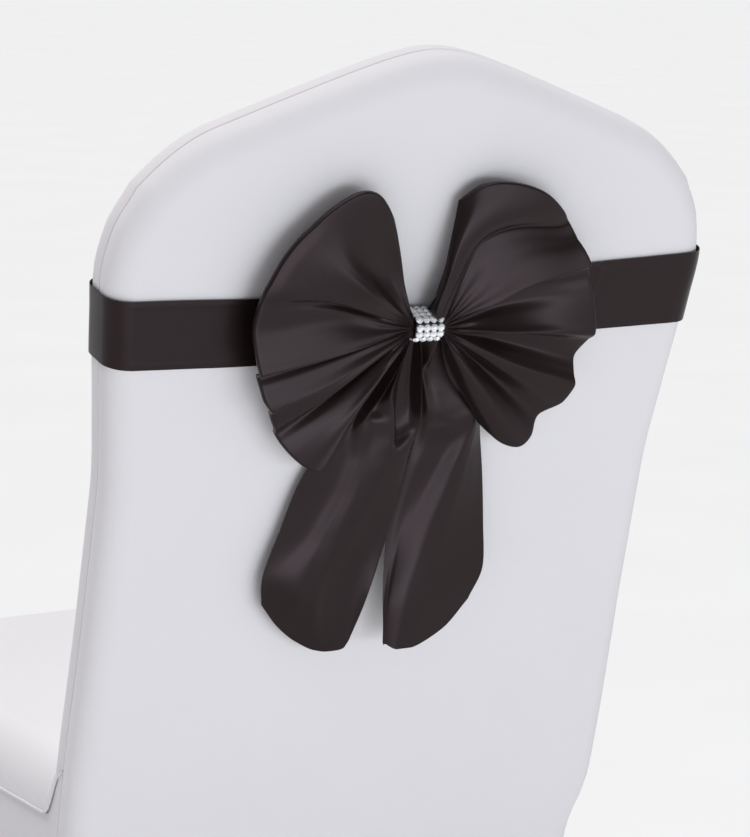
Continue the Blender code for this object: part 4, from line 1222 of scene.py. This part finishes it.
def wing_line(fold, side, down):
    """Places over one wing: out along its front, round its rim, back along its rear."""
    places = [(share, front_lift(fold, share, down, side))
              for share in (RIM_SHARE * t for t in steps(FRONT_STEPS)[:-1])]
    top, low = front_lift(fold, RIM_SHARE, down, side), rear_lift(fold, RIM_SHARE, down, side)
    for t in steps(RIM_STEPS):
        bend = math.pi * (t - 0.5)
        share = RIM_SHARE + (1.0 - RIM_SHARE) * math.cos(bend)
        places.append((share, 0.5 * (top + low) - 0.5 * (top - low) * math.sin(bend)))
    for t in steps(REAR_STEPS)[1:]:
        share = RIM_SHARE * (1.0 - t)
        places.append((share, rear_lift(fold, share, down, side)))
    return [(*fold_place(fold, share, side, down), lift) for share, lift in places]


def bow_cloth():
    """Both wings in one closed piece: rows from the top down, each right round."""
    rows = []
    run_down = 0.0
    before = None
    for t in steps(BOW_ROWS):
        waist_rise = blend(WAIST_TOP, WAIST_FOOT, t)
        left, right = table_row(FoldLine, LEFT_FOLDS, t), table_row(FoldLine, RIGHT_FOLDS, t)
        path = wing_line(right, 1.0, t)
        path.append((RING_MIDDLE, waist_rise, rear_lift(right, 0.0, t, 1.0)))
        path += wing_line(left, -1.0, t)[::-1]
        path.append((RING_MIDDLE, waist_rise, front_lift(left, 0.0, t, -1.0)))
        path.append(path[0])
        rim = path[FRONT_STEPS]
        run_down += math.dist(rim, before) if before else 0.0
        before = rim
        run = 0.0
        row = []
        for here, last in zip(path, path[:1] + path):
            run += math.dist(here, last)
            row.append((bow_point(*here), (run, run_down)))
        rows.append(row)
    return woven(rows)


# ------------------------------------------------------------------ the tails

TAIL_ROWS = 168
TAIL_COLUMNS = 88


def below(rise, start, run):
    """Length below a start, coming in smoothly over a run."""
    return max(0.0, start - rise) * ease((start - rise) / run)


def tail_hang(x, rise):
    """How far a tail swings out under the knot, its end more than its middle."""
    hang = blend(*TAIL_HANG, ease((x - HANG_LEFT) / HANG_ACROSS)) * below(rise, HANG_START, HANG_RUN)
    return hang + END_HANG * below(rise, END_START, END_RUN) * ease((x - END_LEFT) / END_ACROSS)


def tail_cloth(tail):
    """A tail: rows from the knot to its end, each from its left edge to its right."""
    width, length = (size / MM for size in tail.flat)
    order = range(len(tail.lines))
    rows = []
    for t in steps(TAIL_ROWS):
        columns = list(zip(*(table_row(TailPoint, line, t) for line in tail.lines.values())))
        row = []
        for share in steps(TAIL_COLUMNS):
            x, rise, lift = (smooth_curve(order, values, share * order[-1]) for values in columns)
            hang = tail_hang(x, rise)
            point = bow_point(x - VIEW_SIDE * hang, rise + VIEW_DROP * hang, lift + hang)
            row.append((point, (width * share, length * t)))
        rows.append(row)
    return woven(rows)


# ------------------------------------------------------- the rhinestone band

BAND_CLOTH = 1.2
BAND_COLUMNS = 8
CORNER_POINTS = 8
FACETS = 8
CUP_SIDES = 12
STONE_SEAT = 0.1            # how far the stones lie over their cups


def ring_path():
    """Rise, lift and outward way of points round the band's rounded section."""
    path = []
    for i, corner in enumerate(RING_CORNERS):
        before, after = RING_CORNERS[i - 1], RING_CORNERS[(i + 1) % len(RING_CORNERS)]
        ways = []
        for start, end in ((before, corner), (corner, after)):
            length = math.dist(start, end)
            ways.append(((end.lift - start.lift) / length, (start.rise - end.rise) / length))
        first, last = (math.atan2(way[1], way[0]) for way in ways)
        swing = (last - first + math.pi) % (2.0 * math.pi) - math.pi
        middle = (ways[0][0] + ways[1][0], ways[0][1] + ways[1][1])
        reach = RING_TURN / math.cos(0.5 * abs(swing)) / math.hypot(*middle)
        centre = (corner.rise - reach * middle[0], corner.lift - reach * middle[1])
        for t in steps(CORNER_POINTS):
            out = (math.cos(first + swing * t), math.sin(first + swing * t))
            path.append((centre[0] + RING_TURN * out[0], centre[1] + RING_TURN * out[1], out))
    return path + path[:1]


def ring_station(share):
    """Rise, lift and outward way at a share of the way round the band."""
    path = ring_path()
    lengths = [math.dist(a[:2], b[:2]) for a, b in zip(path[:-1], path[1:])]
    run = share % 1.0 * sum(lengths)
    for (rise, lift, out), (next_rise, next_lift, next_out), length in zip(path[:-1], path[1:], lengths):
        if run <= length:
            part = run / max(length, 1e-9)
            way = tuple(blend(a, b, part) for a, b in zip(out, next_out))
            return blend(rise, next_rise, part), blend(lift, next_lift, part), way
        run -= length
    return path[0]


def band_cloth():
    """The dark cloth of the band under its stones, with its two ends open."""
    rows = []
    for rise, lift, _ in ring_path():
        places = [RING_MIDDLE + RING_HALF_WIDTH * (2.0 * share - 1.0) for share in steps(BAND_COLUMNS)]
        rows.append([(bow_point(x, rise, lift), (x, rise + lift)) for x in places])
    return woven(rows)


def capped_model(sides, radius, depth, level, turn, rim, rise):
    """A short cylinder whose top is inset and then moved up or down."""
    bpy.ops.object.select_all(action="DESELECT")
    bpy.ops.mesh.primitive_cylinder_add(vertices=sides, radius=radius, depth=depth,
                                        location=(0.0, 0.0, level), rotation=(0.0, 0.0, turn))
    model = bpy.context.active_object
    bpy.ops.object.mode_set(mode="EDIT")
    work = bmesh.from_edit_mesh(model.data)
    for face in work.faces:
        face.select = face.normal.z > 0.9
    bmesh.update_edit_mesh(model.data)
    bpy.ops.mesh.inset(thickness=rim)
    bpy.ops.transform.translate(value=(0.0, 0.0, rise))
    bpy.ops.object.mode_set(mode="OBJECT")
    return model


def stone_model(settings):
    """One foil-backed stone with a flat table and eight sloping facets, in millimetres."""
    size = settings.stone_size / MM
    half_facet = math.pi / FACETS
    radius = 0.5 * size / math.cos(half_facet)
    return capped_model(FACETS, radius, 0.3 * size, 0.3 * size, half_facet, 0.225 * size, 0.2 * size)


def cup_model(settings):
    """One pressed cup: a shallow dish whose wall stands up round the stone, in millimetres."""
    size = settings.cup_size / MM
    return capped_model(CUP_SIDES, 0.5 * size, 0.35 * size, 0.175 * size, 0.0, 0.08 * size, -0.2 * size)


def back_direction(rise_share, lift_share):
    """World direction of a way up the back and out of its outside face."""
    up = Vector((0.0, -math.sin(BACK_LEAN), math.cos(BACK_LEAN)))
    out = Vector((0.0, -math.cos(BACK_LEAN), -math.sin(BACK_LEAN)))
    return (rise_share * up + lift_share * out).normalized()


def copies_round_band(model, name, settings, seat_lift):
    """Copies of a model in rows round the band, joined as one mesh."""
    joined = bmesh.new()
    across, rows = settings.stones_across, settings.stone_rows
    pitch = 2.0 * RING_HALF_WIDTH / across
    side = Vector((1.0, 0.0, 0.0))
    for row in range(rows):
        rise, lift, out = ring_station((row + settings.row_start) / rows)
        normal = back_direction(*out)
        turn = Matrix((side, normal.cross(side), normal)).transposed().to_4x4()
        for column in range(across):
            x = RING_MIDDLE + (column - 0.5 * (across - 1)) * pitch
            place = Vector(bow_point(x, rise, lift)) * MM + normal * seat_lift
            copy = model.data.copy()
            copy.transform(Matrix.Translation(place) @ turn @ Matrix.Scale(MM, 4) @ model.matrix_world)
            joined.from_mesh(copy)
            bpy.data.meshes.remove(copy)
    mesh = bpy.data.meshes.new(name)
    joined.to_mesh(mesh)
    joined.free()
    bpy.data.objects.remove(model, do_unlink=True)
    return linked_object(name, mesh)


# ------------------------------------------------------------------- settings


class COVER_colours(bpy.types.PropertyGroup):
    knit: StringProperty(name="Knit", description="Colour of the stretch knit", default="#dfdcdf")
    knit_shade: StringProperty(name="Knit shade", description="Its darker patches", default="#dbd8db")
    satin: StringProperty(name="Satin", description="Colour of the coated satin", default="#170f0e")
    satin_worn: StringProperty(name="Worn satin", description="Its paler patches", default="#1d1514")
    silver: StringProperty(name="Silver", description="Colour of the stones' cups", default="#f4f4f8")
    # the white of the stones' painted sparks, a painted glint
    glass: StringProperty(name="Glass", description="Colour of the brightest facets", default="#ffffff")
    paper: StringProperty(name="Paper", description="Colour of the studio floor", default="#e0e0e0")


class COVER_cloth(bpy.types.PropertyGroup):
    knit_thickness: FloatProperty(name="Knit thickness", description="Thickness of the knit",
                                  default=0.0012, min=0.0003, max=0.0016, unit="LENGTH")
    satin_thickness: FloatProperty(name="Satin thickness", description="Thickness of the satin",
                                   default=0.0008, min=0.0003, max=0.0012, unit="LENGTH")
    seam_radius: FloatProperty(name="Seam radius", description="Rounding of a seam's edge",
                               default=0.0006, min=0.0001, max=0.0015, unit="LENGTH")
    seam_depth: FloatProperty(name="Seam depth", description="How far a seam is turned in",
                              default=0.002, min=0.0005, max=0.006, unit="LENGTH")


class COVER_stones(bpy.types.PropertyGroup):
    stones_across: IntProperty(name="Stones across", description="Stones in each row", default=4, min=1)
    stone_rows: IntProperty(name="Rows", description="Rows of stones round the band", default=12, min=4)
    row_start: FloatProperty(name="First row", description="Place of the first row, in rows", default=0.15)
    stone_size: FloatProperty(name="Stone size", description="Width of a stone",
                              default=0.00475, unit="LENGTH")
    cup_size: FloatProperty(name="Cup size", description="Width of a stone's cup",
                            default=0.0048, unit="LENGTH")


class COVER_stage(bpy.types.PropertyGroup):
    camera_place: FloatVectorProperty(name="Camera place", description="Where the camera stands",
                                      default=(-1.0079, -2.0059, 1.0080), subtype="TRANSLATION",
                                      unit="LENGTH")
    camera_turn: FloatProperty(name="Camera turn", description="Angle of the view to the right",
                               default=math.radians(28.877), unit="ROTATION")
    camera_dip: FloatProperty(name="Camera dip", description="Angle of the view below the horizon",
                              default=math.radians(9.190), unit="ROTATION")
    camera_roll: FloatProperty(name="Camera roll", description="Tilt of the camera about its view",
                               default=math.radians(1.0), unit="ROTATION")
    camera_lens: FloatProperty(name="Lens", description="Focal length on a 36 mm sensor", default=157.93)
    sun_strength: FloatProperty(name="Sun", description="Strength of the soft main light", default=2.85)
    softbox_power: FloatProperty(name="Softbox", description="Power of the softbox in watts", default=12.0)
    low_softbox_power: FloatProperty(name="Low softbox", description="Power of the low softbox in watts",
                                     default=4.2)
    room_light: FloatProperty(name="Room light", description="Strength of the even light", default=0.28)


# ------------------------------------------------------------------ operators


class COVER_OT_back(bpy.types.Operator):
    """Builds the outside back and the inside back"""
    bl_idname = "cover.back"
    bl_label = "Build the back's two panels"

    def execute(self, context):
        foot = height_at_level(BACK_HEM)
        skirt = [blend(foot, 0.0, t) for t in steps(round(-foot / SIDE_STEP))[:-1]]
        above = [blend(0.0, PANEL_TOP, t) for t in steps(round(PANEL_TOP / SIDE_STEP))]
        cloth = panel_cloth(skirt + above, -1.0, BACK_BULGE, outside_place, OUTSIDE_TURN)
        outside = cloth_object("outside_back", cloth, stretch_knit, flip=True)
        cloth = panel_cloth(above, 1.0, INSIDE_BULGE, inside_place)
        inside = cloth_object("inside_back", cloth, stretch_knit)
        finish_panel(outside, "back_panel")
        finish_panel(inside, "front_panel")
        return {"FINISHED"}


class COVER_OT_seat(bpy.types.Operator):
    """Builds the seat with its boxing"""
    bl_idname = "cover.seat"
    bl_label = "Build the seat panel"

    def execute(self, context):
        seat = cloth_object("seat_top", seat_cloth(), stretch_knit, flip=True)
        finish_panel(seat, "seat_panel")
        return {"FINISHED"}


class COVER_OT_skirts(bpy.types.Operator):
    """Builds the two side skirts and the front skirt with their arched hems"""
    bl_idname = "cover.skirts"
    bl_label = "Build the skirts"

    def execute(self, context):
        skirts = {}
        for word, side in SIDES:
            cloth = side_skirt_cloth(side)
            skirts[word] = cloth_object(f"skirt_{word}", cloth, stretch_knit, flip=side > 0.0)
        front = cloth_object("skirt_front", front_skirt_cloth(), stretch_knit)
        for word, skirt in skirts.items():
            finish_panel(skirt, f"side_skirt_{word}")
        finish_panel(front, "front_skirt")
        return {"FINISHED"}


class COVER_OT_pockets(bpy.types.Operator):
    """Builds the four foot pockets"""
    bl_idname = "cover.pockets"
    bl_label = "Build the foot pockets"

    def execute(self, context):
        thickness = context.scene.cover_cloth.knit_thickness
        for word, side in SIDES:
            for row, centre, radius in (("rear", rear_pocket_centre(side), BACK_TURN),
                                        ("front", front_pocket_centre(side), CORNER_FOOT)):
                pocket = cloth_object(f"pocket_{row}_{word}", pocket_cloth(centre, radius), stretch_knit)
                weld(pocket)
                cad_node = f"foot_pocket_{row}_{word}"
                finish_cloth(pocket, thickness, KNIT_SLOT, cad_node)
        return {"FINISHED"}


class COVER_OT_sash(bpy.types.Operator):
    """Builds the elastic satin band round the back"""
    bl_idname = "cover.sash"
    bl_label = "Build the sash band"

    def execute(self, context):
        band = cloth_object("sash", sash_cloth(SASH_CLEAR + SASH_CLOTH), coated_satin, flip=True)
        weld(band)
        thickness = context.scene.cover_cloth.satin_thickness
        finish_cloth(band, thickness, SATIN_SLOT, "sash_band")
        return {"FINISHED"}


class COVER_OT_bow(bpy.types.Operator):
    """Builds the bow's two pleated wings"""
    bl_idname = "cover.bow"
    bl_label = "Build the bow"

    def execute(self, context):
        bow = cloth_object("bow_wings", bow_cloth(), coated_satin, flip=True)
        weld(bow)
        thickness = context.scene.cover_cloth.satin_thickness
        finish_cloth(bow, thickness, SATIN_SLOT, "bow")
        return {"FINISHED"}


class COVER_OT_tails(bpy.types.Operator):
    """Builds the bow's two tails"""
    bl_idname = "cover.tails"
    bl_label = "Build the tails"

    def execute(self, context):
        thickness = context.scene.cover_cloth.satin_thickness
        for tail in TAILS:
            piece = cloth_object(tail.name + "_cloth", tail_cloth(tail), coated_satin, flip=True)
            finish_cloth(piece, thickness, SATIN_SLOT, tail.name)
        return {"FINISHED"}


class COVER_OT_stones(bpy.types.Operator):
    """Sets the rows of glass stones in their cups round the knot"""
    bl_idname = "cover.stones"
    bl_label = "Set the stones"

    def execute(self, context):
        settings = context.scene.cover_stones
        cups = copies_round_band(cup_model(settings), "stone_cups", settings, 0.0)
        stones = copies_round_band(stone_model(settings), "stones", settings, STONE_SEAT * MM)
        for piece, make_material in ((cups, silver_cups), (stones, foiled_glass)):
            piece.data.materials.append(material(make_material))
            finish_piece(piece, STONE_SLOT)
        band = cloth_object("knot_band", band_cloth(), coated_satin)
        weld(band)
        finish_cloth(band, BAND_CLOTH * MM, STONE_SLOT, "rhinestone_band")
        return {"FINISHED"}


FLOOR_RADIUS = 60.0
SUN_WIDTH, SUN_TURN, SUN_RISE = 60.0, 215.0, 78.0
SOFTBOX_TONE = (0.88, 0.95, 1.0)      # the softboxes are slightly cool
Softbox = namedtuple("Softbox", "name size distance turn rise")
SOFTBOX = Softbox("softbox", (1.8, 0.45), 2.2, 13.0, -6.0)
LOW_SOFTBOX = Softbox("low softbox", (0.8, 0.42), 1.6, -8.0, -18.0)


def light_way(turn, rise):
    """Way towards a light behind the cover, turned to the right and raised, in degrees."""
    turn, rise = math.radians(turn), math.radians(rise)
    return Vector((math.sin(turn) * math.cos(rise), -math.cos(turn) * math.cos(rise), math.sin(rise)))


class COVER_OT_stage(bpy.types.Operator):
    """Lays the pale floor and sets the soft light and the camera"""
    bl_idname = "cover.stage"
    bl_label = "Set the stage"

    def execute(self, context):
        settings = context.scene.cover_stage
        bpy.ops.object.select_all(action="DESELECT")
        bpy.ops.mesh.primitive_circle_add(vertices=96, radius=FLOOR_RADIUS, fill_type="NGON")
        floor = context.active_object
        floor.name = "studio_floor"
        floor.data.materials.append(material(studio_paper))
        world = bpy.data.worlds.new("studio")
        context.scene.world = world
        world.use_nodes = True
        sky = world.node_tree.nodes["Background"]
        sky.inputs["Color"].default_value = linear("#fbfbff")
        sky.inputs["Strength"].default_value = settings.room_light
        sun = bpy.data.lights.new("soft main light", "SUN")
        sun.energy = settings.sun_strength
        sun.angle = math.radians(SUN_WIDTH)
        self.aim(linked_object("soft main light", sun), light_way(SUN_TURN, SUN_RISE))
        self.add_softbox(SOFTBOX, settings.softbox_power)
        self.add_softbox(LOW_SOFTBOX, settings.low_softbox_power)
        context.scene.view_settings.view_transform = "Standard"
        self.place_camera(context, settings)
        return {"FINISHED"}

    def aim(self, lamp, way):
        """Turns a lamp so that it shines against a way."""
        lamp.rotation_euler = way.to_track_quat("Z", "Y").to_euler()

    def add_softbox(self, softbox, power):
        """A flat softbox, wide and low, at a distance from the knot and turned to face it."""
        box = bpy.data.lights.new(softbox.name, "AREA")
        box.shape = "RECTANGLE"
        box.size, box.size_y = softbox.size
        box.energy = power
        box.color = SOFTBOX_TONE
        lamp = linked_object(softbox.name, box)
        lamp.visible_camera = False
        way = light_way(softbox.turn, softbox.rise)
        lamp.location = Vector(bow_point(0.0, 0.0, 0.0)) * MM + softbox.distance * way
        self.aim(lamp, way)

    def place_camera(self, context, settings):
        """Sets the camera by its place and the angles of its view."""
        turn, dip, roll = settings.camera_turn, settings.camera_dip, settings.camera_roll
        view = Vector((math.sin(turn) * math.cos(dip), math.cos(turn) * math.cos(dip), -math.sin(dip)))
        level = Vector((math.cos(turn), -math.sin(turn), 0.0))
        upright = level.cross(view)
        right = level * math.cos(roll) + upright * math.sin(roll)
        up = upright * math.cos(roll) - level * math.sin(roll)
        lens = bpy.data.cameras.new("camera")
        lens.sensor_fit = "HORIZONTAL"
        lens.sensor_width = 36.0
        lens.lens = settings.camera_lens
        lens.clip_end = 200.0
        camera = linked_object("camera", lens)
        camera.matrix_world = Matrix((right, up, -view)).transposed().to_4x4()
        camera.location = settings.camera_place
        context.scene.camera = camera


class COVER_PT_panel(bpy.types.Panel):
    bl_idname = "COVER_PT_panel"
    bl_label = "Chair cover with a bow sash"
    bl_space_type = "VIEW_3D"
    bl_region_type = "UI"
    bl_category = "Chair cover"

    def draw(self, context):
        for name, group in SETTINGS.items():
            box = self.layout.box()
            for prop in group.__annotations__:
                box.prop(getattr(context.scene, name), prop)
        for operator in OPERATORS:
            self.layout.operator(operator.bl_idname)


SETTINGS = {
    "cover_colours": COVER_colours,
    "cover_cloth": COVER_cloth,
    "cover_stones": COVER_stones,
    "cover_stage": COVER_stage,
}
OPERATORS = [
    COVER_OT_back,
    COVER_OT_seat,
    COVER_OT_skirts,
    COVER_OT_pockets,
    COVER_OT_sash,
    COVER_OT_bow,
    COVER_OT_tails,
    COVER_OT_stones,
    COVER_OT_stage,
]


def register():
    for group in SETTINGS.values():
        bpy.utils.register_class(group)
    for name, group in SETTINGS.items():
        setattr(bpy.types.Scene, name, PointerProperty(type=group))
    for operator in OPERATORS:
        bpy.utils.register_class(operator)
    bpy.utils.register_class(COVER_PT_panel)


def unregister():
    bpy.utils.unregister_class(COVER_PT_panel)
    for operator in reversed(OPERATORS):
        bpy.utils.unregister_class(operator)
    for name in SETTINGS:
        delattr(bpy.types.Scene, name)
    for group in reversed(SETTINGS.values()):
        bpy.utils.unregister_class(group)


def main():
    register()
    for operator in OPERATORS:
        group, name = operator.bl_idname.split(".")
        getattr(getattr(bpy.ops, group), name)()


if __name__ == "__main__":
    main()
